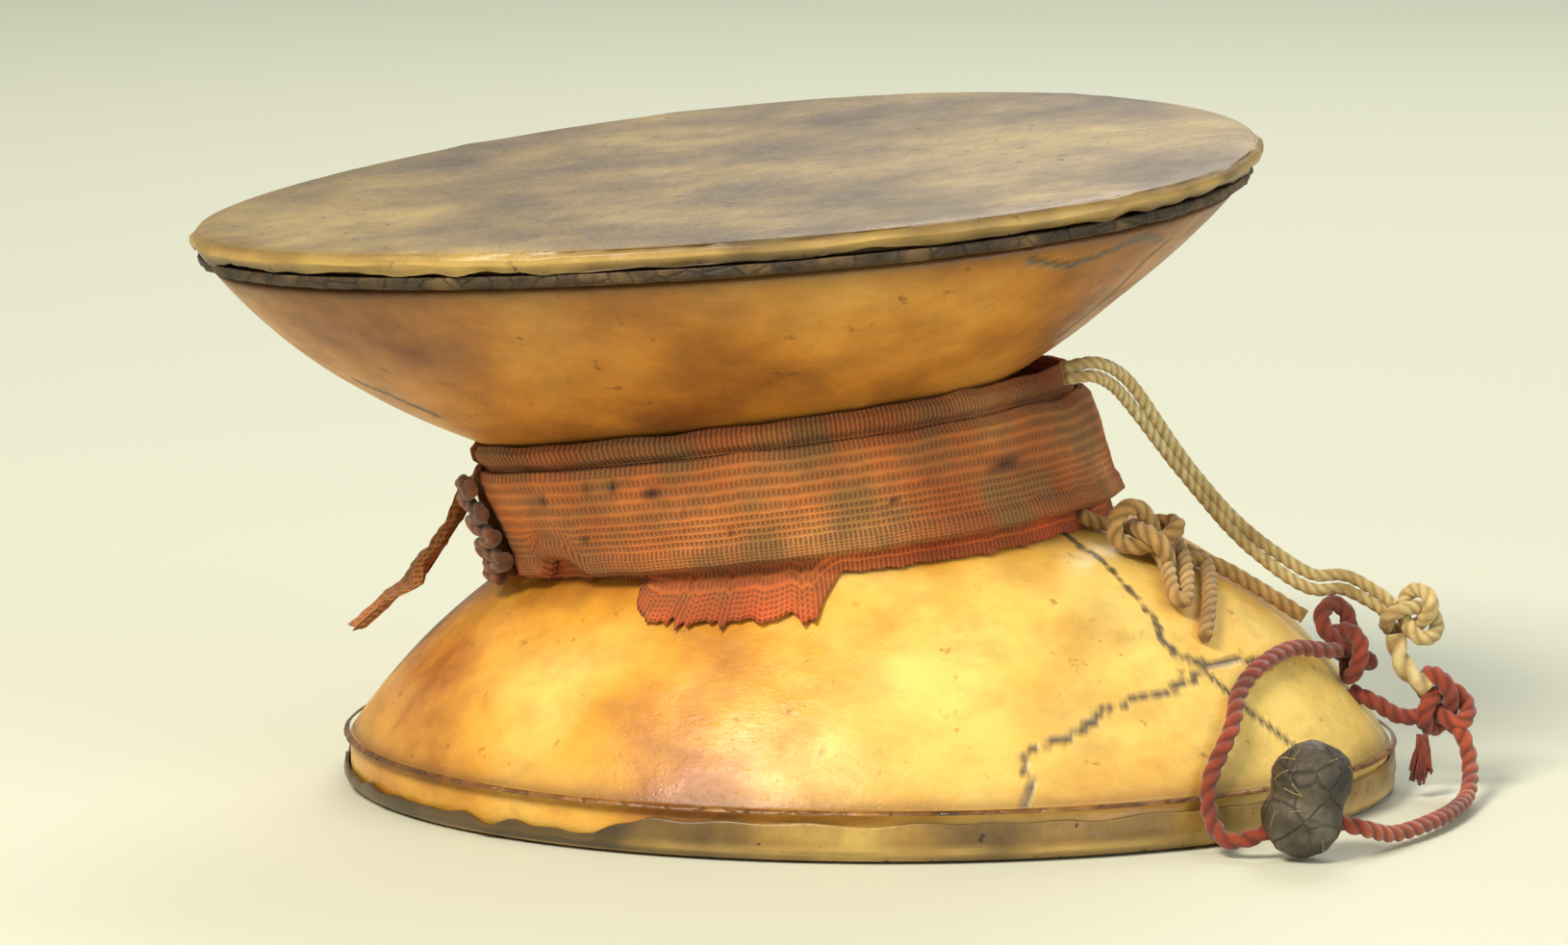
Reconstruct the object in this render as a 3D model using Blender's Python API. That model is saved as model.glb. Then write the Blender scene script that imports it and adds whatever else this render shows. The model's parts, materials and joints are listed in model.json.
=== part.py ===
"""Skull drum: two bone bowls set crown to crown, a hide head glued over each mouth,
a cloth belt round the waist, and a wax striker on a knotted line.

Units are metres and +Z is up. The drum stands on its lower head at z = 0, with the
origin under the middle of the bowls and heads. +X runs along the longest side.
"""

import bmesh
import bpy
from math import ceil, cos, pi, radians, sin
from mathutils import Euler, Matrix, Vector
from mathutils.bvhtree import BVHTree

MM = 0.001

# Lower bowl: the outline of its mouth where it meets the table, seen from above
LOWER_LENGTH = 147.0 * MM
LOWER_WIDTH = 130.0 * MM
LOWER_EGG = -0.058
LOWER_TURN = radians(-16.2)
LOWER_CENTRE_X = 10.1 * MM
LOWER_CENTRE_Y = -0.8 * MM

# Upper bowl: the outline of its mouth at the head's edge, and how that head leans
UPPER_LENGTH = 151.0 * MM
UPPER_WIDTH = 129.8 * MM
UPPER_EGG = 0.21
UPPER_TURN = radians(18.4)
UPPER_CENTRE_X = -10.9 * MM
UPPER_CENTRE_Y = -4.5 * MM
UPPER_HEIGHT = 86.2 * MM
UPPER_ROLL = radians(-4.33)
UPPER_PITCH = radians(1.7)

# Both bowls: where the crowns meet, wall, and the exponents of the dome's curve
WAIST_X = 1.1 * MM
WAIST_Y = -4.5 * MM
WAIST_HEIGHT = 44.5 * MM
CROWN_GAP = 1.6 * MM
WALL = 5.0 * MM
RIM_WALL = 4.5 * MM
LOWER_DOME_BASE = 3.0 * MM
LOWER_DOME_OUT = 2.3 * MM
LOWER_FULLNESS = 2.54
LOWER_LEAN = 0.43
LOWER_SHOULDER = 1.13
UPPER_DOME_BASE = 2.0 * MM
UPPER_DOME_OUT = -0.4 * MM
UPPER_FULLNESS = 1.89
UPPER_LEAN = -0.53
UPPER_SHOULDER = 1.18

# Hide heads
SKIN = 0.8 * MM
LAP_HEIGHT = 5.8 * MM
TORN_LAP_HEIGHT = 2.4 * MM
TORN_FROM = radians(172)
TORN_TO = radians(241)
TORN_EDGE = radians(7)
BAND_TOP = 6.4 * MM
BAND_PROUD = 0.3 * MM
LIP_HEIGHT = 3.0 * MM
PITCH_TOP = 5.9 * MM
PITCH_THICKNESS = 1.3 * MM
NECK_STEP = 0.6 * MM
BEAD_HEIGHT = 1.0 * MM

# Waist: peg, resin, hidden winding and belt
PEG_RADIUS = 3.6 * MM
PEG_LENGTH = 22.0 * MM
RESIN_RADIUS = 14.0 * MM
WINDING_RADIUS = 29.0 * MM
WINDING_THICKNESS = 4.5 * MM
BELT_HEIGHT = 45.0 * MM
BELT_ROLL = radians(-7.4)
BELT_PITCH = radians(-2.9)
CLOTH = 0.9 * MM
BELT_LOW = -9.0 * MM
BELT_HIGH = 6.2 * MM
FOLD_HIGH = 10.0 * MM
FOLD_LOW = 3.5 * MM
INNER_LOW = -9.6 * MM
INNER_PEEK = 2.6 * MM
INNER_PEEK_AT = radians(-50)
BELT_LEAN_IN = 4.0 * MM

BELT_STEPS = 48
SEAM_AT = radians(196)
SEAM_HALF = radians(3.5)
LACING_DIAMETER = 2.2 * MM

# Cords of the line, the loop and the striker
UPPER_CORD_DIAMETER = 3.2 * MM
LOWER_CORD_DIAMETER = 2.2 * MM
WOOL_DIAMETER = 2.4 * MM
STRIKER_RADIUS = 5.6 * MM
STRIKER_AT = (68.6 * MM, -62.4 * MM)
STRIKER_LEAN = radians(14)

# Gaps between pieces that touch, and between a peg and its bore
GAP = 0.3 * MM
BORE_GAP = 0.4 * MM
LAYER_GAP = 0.4 * MM

# Facets
RIM_STEPS = 56
DOME_RINGS = (0.93, 0.86, 0.77, 0.67, 0.56, 0.44, 0.31, 0.18, 0.06)
INNER_RINGS = (0.06, 0.25, 0.5, 0.75, 0.92)


def material(name, colour, roughness, metallic=0.0):
    made = bpy.data.materials.new(name)
    made.use_nodes = True
    shader = made.node_tree.nodes["Principled BSDF"]
    shader.inputs["Base Color"].default_value = (*colour, 1.0)
    shader.inputs["Roughness"].default_value = roughness
    shader.inputs["Metallic"].default_value = metallic
    made.diffuse_color = (*colour, 1.0)
    return made


def loft(name, rings, finish, loop=False):
    """A closed solid through rings that hold the same number of points."""
    mesh = bmesh.new()
    rows = [[mesh.verts.new(point) for point in ring] for ring in rings]
    pairs = list(zip(rows, rows[1:]))
    if loop:
        pairs.append((rows[-1], rows[0]))
    for low, high in pairs:
        for i, corner in enumerate(low):
            j = (i + 1) % len(low)
            mesh.faces.new((corner, low[j], high[j], high[i]))
    if not loop:
        mesh.faces.new(rows[0])
        mesh.faces.new(rows[-1])
    bmesh.ops.recalc_face_normals(mesh, faces=mesh.faces)
    return finished(name, mesh, finish)


def finished(name, mesh, finish):
    data = bpy.data.meshes.new(name)
    mesh.to_mesh(data)
    mesh.free()
    data.shade_smooth()
    data.set_sharp_from_angle(angle=radians(40))
    data.materials.append(finish)
    made = bpy.data.objects.new(name, data)
    bpy.context.collection.objects.link(made)
    return made


class Bowl:
    """One bone bowl in its own frame: the head's outer face is z = 0 and the crown is up."""

    def __init__(self, size, frame, crown, dome):
        self.half_length = size[0] / 2
        self.half_width = size[1] / 2
        self.egg = size[2]
        self.turn = size[3]
        self.frame = frame
        self.crown = frame.inverted() @ crown
        self.base, self.out, self.fullness, self.lean, self.shoulder = dome

    def mouth(self, t, inset=0.0):
        """A point of the egg-shaped outline, drawn in by the inset."""
        x = (self.half_length - inset) * cos(t)
        y = (self.half_width - inset) * sin(t) * (1 + self.egg * cos(t))
        return Vector((x, y, 0)) @ Matrix.Rotation(-self.turn, 3, "Z")

    def ring(self, inset, height):
        """A ring parallel to the mouth. The height is a length, or a function of the angle."""
        points = []
        for i in range(RIM_STEPS):
            t = 2 * pi * i / RIM_STEPS
            point = self.mouth(t, inset)
            point.z = height(t) if callable(height) else height
            points.append(point)
        return points

    def power(self, t):
        return self.fullness + self.lean * cos(t + self.turn)

    def dome_ring(self, height, wall=0.0, out=0.0):
        """The dome's ring at one height, drawn in by the wall and pushed out by out."""
        points = []
        middle = self.crown.xy.to_3d()
        rise = (height - self.base) / (self.crown.z - wall - self.base)
        for i in range(RIM_STEPS):
            t = 2 * pi * i / RIM_STEPS
            reach = self.mouth(t, wall - self.out) - middle
            share = (1 - max(rise, 0) ** self.shoulder) ** (1 / self.power(t))
            point = middle + reach * share + reach.normalized() * out
            point.z = height
            points.append(point)
        return points

    def share_ring(self, share, wall=0.0):
        """The dome's ring at one share of the way out from the crown."""
        points = []
        middle = self.crown.xy.to_3d()
        for i in range(RIM_STEPS):
            t = 2 * pi * i / RIM_STEPS
            point = middle.lerp(self.mouth(t, wall - self.out), share)
            rise = (1 - share ** self.power(t)) ** (1 / self.shoulder)
            point.z = self.base + (self.crown.z - wall - self.base) * rise
            points.append(point)
        return points


def make_bowl(name, bowl, rim_rings, first_height, finish, cutter):
    """Lofts the shell from its inner crown over the rim to its outer crown, then bores it."""
    inner = [bowl.share_ring(share, WALL) for share in INNER_RINGS]
    outer = [bowl.share_ring(share) for share in DOME_RINGS]
    shell = loft(name, inner + rim_rings + [bowl.dome_ring(first_height)] + outer, finish)
    shell.matrix_world = bowl.frame
    bore = shell.modifiers.new("Peg bore", "BOOLEAN")
    bore.operation = "DIFFERENCE"
    bore.object = cutter
    return shell


def cylinder(name, radius, length, centre, finish, bevel=0.0):
    mesh = bmesh.new()
    bmesh.ops.create_cone(
        mesh, cap_ends=True, segments=24, radius1=radius, radius2=radius, depth=length
    )
    if bevel:
        rims = [edge for edge in mesh.edges if abs(edge.verts[0].co.z - edge.verts[1].co.z) < bevel]
        bmesh.ops.bevel(mesh, geom=rims, offset=bevel, segments=2, affect="EDGES")
    made = finished(name, mesh, finish)
    made.location = centre
    return made


def clear_scene():
    for old in list(bpy.data.objects):
        bpy.data.objects.remove(old, do_unlink=True)
    bpy.context.scene.unit_settings.system = "METRIC"


clear_scene()

BONE = material("lower bone", (0.86, 0.55, 0.17), 0.38)
HONEY_BONE = material("upper bone", (0.70, 0.40, 0.12), 0.40)
HIDE = material("hide", (0.40, 0.32, 0.18), 0.55)
PITCH = material("pitch", (0.06, 0.05, 0.035), 0.6)
WOOD = material("peg wood", (0.30, 0.18, 0.08), 0.7)
RESIN = material("resin", (0.10, 0.05, 0.02), 0.5)
CLOTH_OUT = material("faded red cloth", (0.36, 0.14, 0.06), 0.95)
CLOTH_IN = material("bright red cloth", (0.50, 0.10, 0.04), 0.95)
YARN = material("brown yarn", (0.34, 0.16, 0.07), 0.95)
CREAM = material("cream cord", (0.66, 0.52, 0.30), 0.9)
BEIGE = material("beige cord", (0.55, 0.38, 0.18), 0.9)
RED_WOOL = material("red wool", (0.42, 0.09, 0.05), 0.95)
WAX = material("wax", (0.16, 0.13, 0.09), 0.7)

upper_frame = (
    Matrix.Translation((UPPER_CENTRE_X, UPPER_CENTRE_Y, UPPER_HEIGHT))
    @ Euler((UPPER_PITCH, UPPER_ROLL, 0)).to_matrix().to_4x4()
    @ Matrix.Rotation(pi, 4, "X")
)
lower_frame = Matrix.Translation((LOWER_CENTRE_X, LOWER_CENTRE_Y, 0))
lower_crown = Vector((WAIST_X, WAIST_Y, WAIST_HEIGHT - CROWN_GAP / 2))
upper_crown = Vector((WAIST_X, WAIST_Y, WAIST_HEIGHT + CROWN_GAP / 2))
lower = Bowl(
    (LOWER_LENGTH, LOWER_WIDTH, LOWER_EGG, LOWER_TURN),
    lower_frame,
    lower_crown,
    (LOWER_DOME_BASE, LOWER_DOME_OUT, LOWER_FULLNESS, LOWER_LEAN, LOWER_SHOULDER),
)
# The upper bowl is turned over, so its outline turns the other way in its own frame
upper = Bowl(
    (UPPER_LENGTH, UPPER_WIDTH, UPPER_EGG, -UPPER_TURN),
    upper_frame,
    upper_crown,
    (UPPER_DOME_BASE, UPPER_DOME_OUT, UPPER_FULLNESS, UPPER_LEAN, UPPER_SHOULDER),
)

# Peg and the cutter of its bore
peg_centre = Vector((WAIST_X, WAIST_Y, WAIST_HEIGHT))
waist_peg = cylinder("waist_peg", PEG_RADIUS, PEG_LENGTH, peg_centre, WOOD, bevel=0.8 * MM)
bore_cutter = cylinder("bore_cutter", PEG_RADIUS + BORE_GAP, 2 * PEG_LENGTH, peg_centre, WOOD)
bore_cutter.hide_render = True
bore_cutter.display_type = "WIRE"

# Bowls
rim_foot = SKIN + GAP
rim_bevel = 0.5 * MM
lower_rim = [
    lower.ring(RIM_WALL, rim_foot),
    lower.ring(-BAND_PROUD + rim_bevel, rim_foot),
    lower.ring(-BAND_PROUD, rim_foot + rim_bevel),
    lower.ring(-BAND_PROUD, BAND_TOP - rim_bevel / 2),
    lower.ring(-BAND_PROUD + rim_bevel / 2, BAND_TOP),
]
lower_bowl = make_bowl("lower_bowl", lower, lower_rim, BAND_TOP, BONE, bore_cutter)


def neck_ring(height, out=0.0):
    """A ring of the upper bowl's neck, set in from the dome to seat the lip and the pitch."""
    points = upper.dome_ring(PITCH_TOP, out=out - NECK_STEP)
    for point in points:
        point.z = height
    return points


neck_top = PITCH_TOP - GAP
upper_rim = [upper.ring(RIM_WALL + 2 * MM, rim_foot), neck_ring(rim_foot), neck_ring(neck_top)]
upper_bowl = make_bowl("upper_bowl", upper, upper_rim, PITCH_TOP, HONEY_BONE, bore_cutter)

# Hide heads
def lap_height(t):
    """The lap of the lower head round the rim, short where the hide is torn away."""
    start = TORN_FROM - LOWER_TURN
    end = TORN_TO - LOWER_TURN
    inside = min(t - start, end - t) / TORN_EDGE
    share = min(max(inside + 0.5, 0), 1)
    return LAP_HEIGHT + (TORN_LAP_HEIGHT - LAP_HEIGHT) * share


lap_inside = -BAND_PROUD - GAP
lap_outside = lap_inside - SKIN
lower_skin = loft(
    "lower_skin",
    [
        lower.ring(1.8 * MM, 0),
        lower.ring(lap_outside + 0.9 * MM, 0.25 * MM),
        lower.ring(lap_outside + 0.2 * MM, 1.1 * MM),
        lower.ring(lap_outside, lambda t: 0.6 * lap_height(t)),
        lower.ring(lap_outside + 0.25 * MM, lap_height),
        lower.ring(lap_inside, lap_height),
        lower.ring(lap_inside, 1.3 * MM),
        lower.ring(lap_inside + 0.5 * MM, SKIN),
    ],
    HIDE,
)
lower_skin.matrix_world = lower.frame
upper_skin = loft(
    "upper_skin",
    [
        upper.ring(2.4 * MM, 0),
        upper.ring(0.9 * MM, 0.2 * MM),
        upper.ring(0.15 * MM, 0.9 * MM),
        upper.ring(0, 1.7 * MM),
        upper.ring(0.5 * MM, LIP_HEIGHT - 0.5 * MM),
        neck_ring(LIP_HEIGHT, GAP + PITCH_THICKNESS),
        neck_ring(LIP_HEIGHT, GAP),
        neck_ring(SKIN, GAP),
    ],
    HIDE,
)
upper_skin.matrix_world = upper.frame


def lower_dome_ring(height, out=0.0):
    return lower.dome_ring(height, out=out)


def pitch_ring(name, frame, ring, bottom, top, thickness):
    """A band of pitch between two heights that hugs the surface whose rings are given."""
    rings = [
        ring(bottom, GAP),
        ring(bottom, GAP + thickness),
        ring((bottom + top) / 2, GAP + thickness * 0.95),
        ring(top, GAP + thickness * 0.4),
        ring(top, GAP),
    ]
    made = loft(name, rings, PITCH, loop=True)
    made.matrix_world = frame
    return made


pitch_ring(
    "upper_pitch_seal", upper.frame, neck_ring, LIP_HEIGHT + GAP, neck_top - GAP, PITCH_THICKNESS
)
bead_foot = BAND_TOP + GAP
pitch_ring(
    "lower_pitch_seal", lower.frame, lower_dome_ring, bead_foot, bead_foot + BEAD_HEIGHT,
    BEAD_HEIGHT * 0.7
)


# Waist: what is hidden between the crowns
def world_tree(made):
    """A search tree of a finished piece in world space."""
    bpy.context.view_layer.update()
    graph = bpy.context.evaluated_depsgraph_get()
    mesh = made.evaluated_get(graph).to_mesh()
    points = [made.matrix_world @ vertex.co for vertex in mesh.vertices]
    faces = [face.vertices[:] for face in mesh.polygons]
    return BVHTree.FromPolygons(points, faces)


lower_tree = world_tree(lower_bowl)
upper_tree = world_tree(upper_bowl)
far = LOWER_LENGTH + UPPER_LENGTH
waist = Vector((WAIST_X, WAIST_Y, WAIST_HEIGHT))


def circle(radius, height, steps=36):
    """A level circle round the peg."""
    turns = [2 * pi * i / steps for i in range(steps)]
    return [Vector((WAIST_X + radius * cos(u), WAIST_Y + radius * sin(u), height)) for u in turns]


def between_crowns(radius):
    """The free heights over a level circle, from the lower crown to the upper one."""
    low = []
    high = []
    for point in circle(radius, lower_crown.z + GAP / 2):
        foot = lower_tree.ray_cast(point, Vector((0, 0, -1)))[0] + Vector((0, 0, GAP))
        low.append(foot)
        high.append(upper_tree.ray_cast(foot, Vector((0, 0, 1)))[0] - Vector((0, 0, GAP)))
    return low, high


resin_bore = PEG_RADIUS + BORE_GAP + 1.2 * MM
resin_low, resin_high = between_crowns(RESIN_RADIUS)
inner_low, inner_high = between_crowns(resin_bore)
middle_low, middle_high = between_crowns((resin_bore + RESIN_RADIUS) / 2)
waist_resin = loft(
    "waist_resin",
    [inner_low, middle_low, resin_low, resin_high, middle_high, inner_high],
    RESIN,
    loop=True,
)
winding_low, winding_high = between_crowns(WINDING_RADIUS)
winding_rings = []
for i in range(8):
    turn = 2 * pi * i / 8
    ring = []
    for low, high, point in zip(winding_low, winding_high, circle(1.0, 0)):
        side = Vector((point.x - WAIST_X, point.y - WAIST_Y, 0))
        middle = low.lerp(high, 0.5)
        ring.append(
            middle + WINDING_THICKNESS / 2 * (side * cos(turn) + Vector((0, 0, sin(turn))))
        )
    winding_rings.append(ring)
waist_cord_winding = loft("waist_cord_winding", winding_rings, BEIGE, loop=True)

# Belt: rings fitted by shooting rays at the bowls in the belt's own plane
belt_frame = (
    Matrix.Translation((WAIST_X, WAIST_Y, BELT_HEIGHT))
    @ Euler((BELT_PITCH, BELT_ROLL, 0)).to_matrix().to_4x4()
)


def bowl_reach(turn, height):
    """How far the bowls reach from the belt's axis, at an angle and height of its plane."""
    side = belt_frame.to_3x3() @ Vector((cos(turn), sin(turn), 0))
    axis_point = belt_frame @ Vector((0, 0, height))
    found = 0.0
    for tree in (lower_tree, upper_tree):
        hit = tree.ray_cast(axis_point + side * far, -side)[0]
        if hit is not None:
            found = max(found, (hit - axis_point).dot(side))
    return found


def inner_low(turn):
    """The lower edge of the inner cloth, which peeks out lowest at the front right."""
    return INNER_LOW - INNER_PEEK * max(0, cos(turn - INNER_PEEK_AT))


def cloth_point(turn, height, out):
    """A point of the taut cloth, which touches both bowls and runs straight between them.

    A height of None is the lower edge of the inner cloth."""
    foot = inner_low(turn)
    low = bowl_reach(turn, foot)
    high = max(bowl_reach(turn, FOLD_HIGH), low - BELT_LEAN_IN)
    height = foot if height is None else height
    share = (height - foot) / (FOLD_HIGH - foot)
    reach = low + (high - low) * share + out
    return belt_frame @ Vector((reach * cos(turn), reach * sin(turn), height))


# All layers share the same angles, from one edge of the seam round to the other
belt_turns = []
for i in range(BELT_STEPS + 1):
    belt_turns.append(SEAM_AT + SEAM_HALF + (2 * pi - 2 * SEAM_HALF) * i / BELT_STEPS)


def cloth_ring(height, out):
    return [cloth_point(turn, height, out) for turn in belt_turns]


inner_face = GAP
inner_back = inner_face + CLOTH
outer_face = inner_back + LAYER_GAP
outer_back = outer_face + 1.8 * CLOTH
cloth_rows = (-6 * MM, -2 * MM, 1 * MM)
inner_heights = (None, BELT_LOW, *cloth_rows, FOLD_LOW - GAP)
inner_rings = [cloth_ring(height, inner_face) for height in inner_heights]
inner_rings += [cloth_ring(height, inner_back) for height in reversed(inner_heights)]
belt_inner = loft("belt_inner", inner_rings, CLOTH_IN, loop=True)
belt_upper_fold = loft(
    "belt_upper_fold",
    [
        cloth_ring(FOLD_LOW, inner_face),
        cloth_ring(FOLD_LOW, inner_back),
        cloth_ring(BELT_HIGH + 0.5 * MM, inner_back),
        cloth_ring(BELT_HIGH + 1.4 * MM, inner_back + CLOTH),
        cloth_ring(FOLD_HIGH - CLOTH, inner_back + CLOTH),
        cloth_ring(FOLD_HIGH, inner_back),
        cloth_ring(FOLD_HIGH, inner_face),
    ],
    CLOTH_OUT,
    loop=True,
)


band_profile = [
    (BELT_LOW, outer_face),
    (BELT_LOW - 0.3 * MM, outer_face + CLOTH),
    (BELT_LOW + 0.4 * MM, outer_back + 0.5 * MM),
    (BELT_LOW + 2.2 * MM, outer_back + 0.4 * MM),
    (BELT_LOW + 3.0 * MM, outer_back),
    (0, outer_back),
    (BELT_HIGH - 1.2 * MM, outer_back),
    (BELT_HIGH, outer_face + CLOTH),
    (BELT_HIGH, outer_face),
    (FOLD_LOW, outer_face),
]
band_profile += [(height, outer_face) for height in reversed(cloth_rows)]
band_rings = []
for turn in belt_turns:
    band_rings.append([cloth_point(turn, height, out) for height, out in band_profile])
belt_outer = loft("belt_outer", band_rings, CLOTH_OUT)


def smooth_route(points, spacing):
    """Points along a smooth curve through the route's own points."""
    route = [Vector(point) * MM for point in points]
    ends = [2 * route[0] - route[1]] + route + [2 * route[-1] - route[-2]]
    found = []
    for a, b, c, d in zip(ends, ends[1:], ends[2:], ends[3:]):
        count = max(1, ceil((c - b).length / spacing))
        for i in range(count):
            u = i / count
            found.append(
                0.5
                * (
                    2 * b
                    + (c - a) * u
                    + (2 * a - 5 * b + 4 * c - d) * u**2
                    + (3 * b - 3 * c + d - a) * u**3
                )
            )
    return found + [route[-1]]


def tube(name, points, diameter, finish, closed=False, sides=2):
    """A round cord along points."""
    curve = bpy.data.curves.new(name, "CURVE")
    curve.dimensions = "3D"
    curve.bevel_depth = diameter / 2
    curve.bevel_resolution = sides
    curve.use_fill_caps = not closed
    spline = curve.splines.new("POLY")
    spline.points.add(len(points) - 1)
    for spot, point in zip(spline.points, points):
        spot.co = (*point, 1)
    spline.use_cyclic_u = closed
    curve.materials.append(finish)
    made = bpy.data.objects.new(name, curve)
    bpy.context.collection.objects.link(made)
    return made


def knot(name, centre, along, facing, size, stretch, diameter, finish):
    """An overhand knot: a trefoil whose long side lies along one way and whose flat faces another."""
    along = Vector(along).normalized()
    facing = (Vector(facing) - Vector(facing).dot(along) * along).normalized()
    across = facing.cross(along)
    points = []
    for i in range(30):
        t = 2 * pi * i / 30
        right = size / 6 * (sin(t) + 2 * sin(2 * t))
        up = size / 6 * stretch * (cos(t) - 2 * cos(2 * t))
        out = -0.75 * diameter * sin(3 * t)
        points.append(Vector(centre) * MM + across * right + along * up + facing * out)
    return tube(name, points, diameter, finish, closed=True, sides=1)


# Lacing of the seam, in a zigzag down the two edges of the band
lacing_points = []
lacing_turns = 4
lacing_out = outer_back + 0.5 * MM + LACING_DIAMETER / 2 + GAP
for i in range(8 * lacing_turns + 1):
    share = i / (8 * lacing_turns)
    wave = sin(2 * pi * lacing_turns * share)
    turn = SEAM_AT + 1.3 * SEAM_HALF * wave
    height = BELT_HIGH - 1 * MM + (BELT_LOW - BELT_HIGH + 1 * MM) * share
    lacing_points.append(cloth_point(turn, height, lacing_out))
belt_lacing = tube("belt_lacing", lacing_points, LACING_DIAMETER, YARN, sides=1)

# Tail of cloth that hangs behind the seam
# Each row is a height, how far it stands out, and its width; each side is a share of the
# width and a depth
TAIL_ROWS = ((4, 0.6, 5), (-2, 3.5, 6), (-7, 7.5, 8), (-11, 8.5, 9), (-14.5, 8.0, 7))
TAIL_FRONT = ((-1, 0), (-0.3, 0.8), (0.4, -0.4), (1, 0.5))
TAIL_BACK = ((1, 2), (0.4, 1.1), (-0.3, 2.3), (-1, 1.5))
tail_turn = SEAM_AT - radians(22)
tail_rows = []
for height, out, width in TAIL_ROWS:
    row = []
    for side, depth in TAIL_FRONT + TAIL_BACK:
        turn = tail_turn + side * width / 2 * MM / (WINDING_RADIUS + 20 * MM)
        reach = outer_back + 0.6 * MM + (out + depth) * MM
        row.append(cloth_point(turn, height * MM, reach))
    tail_rows.append(row)
belt_tail = loft("belt_tail", tail_rows, CLOTH_OUT)

# Line: the two cords, their knots and the wool that ties the striker's loop


def laid(point, lift):
    """A point moved to lie this far off the lower bowl's surface."""
    spot, normal, _, _ = lower_tree.find_nearest(Vector(point) * MM)
    return (spot + normal * lift) / MM


def cord(name, route, diameter, finish, sides=2):
    return tube(name, smooth_route(route, 2.5 * diameter), diameter, finish, sides=sides)


upper_cord_route = [
    (40.8, -24.8, 61.4),
    (44.2, -20.0, 59.2),
    (47.2, -16.5, 55.4),
    (53.4, -13.6, 46.6),
    (60.8, -12.4, 37.8),
    (67.2, -12.0, 32.4),
    (72.0, -11.6, 29.6),
    (76.4, -10.8, 29.4),
    (80.6, -11.4, 27.4),
]
cord("upper_cord", upper_cord_route, UPPER_CORD_DIAMETER, CREAM)
lower_lift = LOWER_CORD_DIAMETER / 2 + GAP
lower_cord_route = [
    laid((53.0, -19.5, 33.6), lower_lift),
    laid((57.6, -15.4, 31.6), lower_lift),
    laid((62.6, -13.2, 28.6), lower_lift),
    laid((66.6, -12.6, 26.0), lower_lift + 0.4 * MM),
    laid((69.4, -12.8, 23.4), lower_lift + 1.0 * MM),
]
cord("lower_cord", lower_cord_route, LOWER_CORD_DIAMETER, BEIGE)
wool_lift = WOOL_DIAMETER / 2 + GAP


def line_knot(name, centre, along, facing, size, stretch, diameter, finish):
    return knot(name, centre, along, facing, size * MM, stretch, diameter, finish)


loop_knot_at = laid((46.8, -23.4, 35.8), 4.4 * MM)
line_knot(
    "loop_knot",
    loop_knot_at,
    along=(1, 0.4, -0.5),
    facing=(0.4, -0.5, 0.8),
    size=7.6,
    stretch=1.2,
    diameter=LOWER_CORD_DIAMETER,
    finish=BEIGE,
)
red_knot_at = laid((74.2, -12.6, 18.8), 4.0 * MM)
line_knot(
    "red_knot_upper",
    red_knot_at,
    along=(0.5, 0, -1),
    facing=(1, 0, 0.5),
    size=7.0,
    stretch=1.7,
    diameter=WOOL_DIAMETER,
    finish=RED_WOOL,
)
line_knot(
    "cream_knot",
    (86.2, -12.0, 24.8),
    along=(1, 0, 0.3),
    facing=(0, -1, 0),
    size=7.4,
    stretch=1.1,
    diameter=LOWER_CORD_DIAMETER,
    finish=CREAM,
)
line_knot(
    "red_knot_lower",
    (90.2, -12.0, 12.4),
    along=(0.4, 0, -1),
    facing=(0, -1, 0),
    size=7.0,
    stretch=1.3,
    diameter=WOOL_DIAMETER,
    finish=RED_WOOL,
)
cream_drop_route = [(83.4, -12.6, 20.4), (84.4, -12.8, 18.0), (86.2, -12.8, 16.2)]
cord("cream_drop_cord", cream_drop_route, UPPER_CORD_DIAMETER, CREAM)
red_link_route = [
    (80.6, -14.0, 13.2),
    (82.2, -14.0, 12.0),
    (84.0, -13.6, 11.0),
    (86.0, -13.0, 10.4),
]
cord("red_link", red_link_route, WOOL_DIAMETER, RED_WOOL)
red_tuft_route = [(87.4, -15.6, 8.0), (86.8, -16.6, 5.6), (87.2, -16.8, 2.4)]
cord("red_tuft", red_tuft_route, WOOL_DIAMETER, RED_WOOL)
left_route = [
    laid((72.6, -17.8, 20.0), wool_lift + 0.8 * MM),
    laid((67.4, -25.0, 21.4), wool_lift),
    laid((62.4, -34.4, 20.4), wool_lift),
    laid((59.4, -41.0, 18.0), wool_lift),
    laid((57.4, -46.6, 13.6), wool_lift + 1.2 * MM),
    (55.8, -54.8, 9.4),
    (55.8, -58.4, 4.8),
    (57.6, -61.4, 2.4),
    (61.0, -62.4, 2.8),
]
cord("striker_loop_left", left_route, WOOL_DIAMETER, RED_WOOL)
right_route = [
    (93.2, -14.6, 8.0),
    (93.8, -18.0, 4.6),
    (93.0, -25.0, 2.0),
    (90.4, -35.0, 1.6),
    (86.0, -45.4, 1.6),
    (80.6, -54.0, 1.8),
    (76.4, -59.6, 3.6),
]
cord("striker_loop_right", right_route, WOOL_DIAMETER, RED_WOOL)

# Striker: two lumps of wax on one axis, turned as a profile
striker_rings = []
striker_turn = Matrix.Rotation(STRIKER_LEAN, 3, "Y")
lobe_gap = STRIKER_RADIUS * 0.85
for i in range(13):
    angle = pi * (i + 0.5) / 13
    along = (STRIKER_RADIUS + lobe_gap / 2) * cos(angle)
    lobe = abs(along) - lobe_gap / 2
    reach = STRIKER_RADIUS * (1 - 0.12 * (1 - min(abs(along) / (lobe_gap / 2), 1)))
    if lobe > 0:
        reach *= (1 - (lobe / STRIKER_RADIUS) ** 2) ** 0.5
    ring = []
    for k in range(18):
        turn = 2 * pi * k / 18
        ring.append(striker_turn @ Vector((reach * cos(turn), reach * sin(turn), along)))
    striker_rings.append(ring)
striker_ball = loft("striker_ball", striker_rings, WAX)
lowest = min(point.z for ring in striker_rings for point in ring)
striker_ball.location = (*STRIKER_AT, GAP - lowest)
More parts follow.
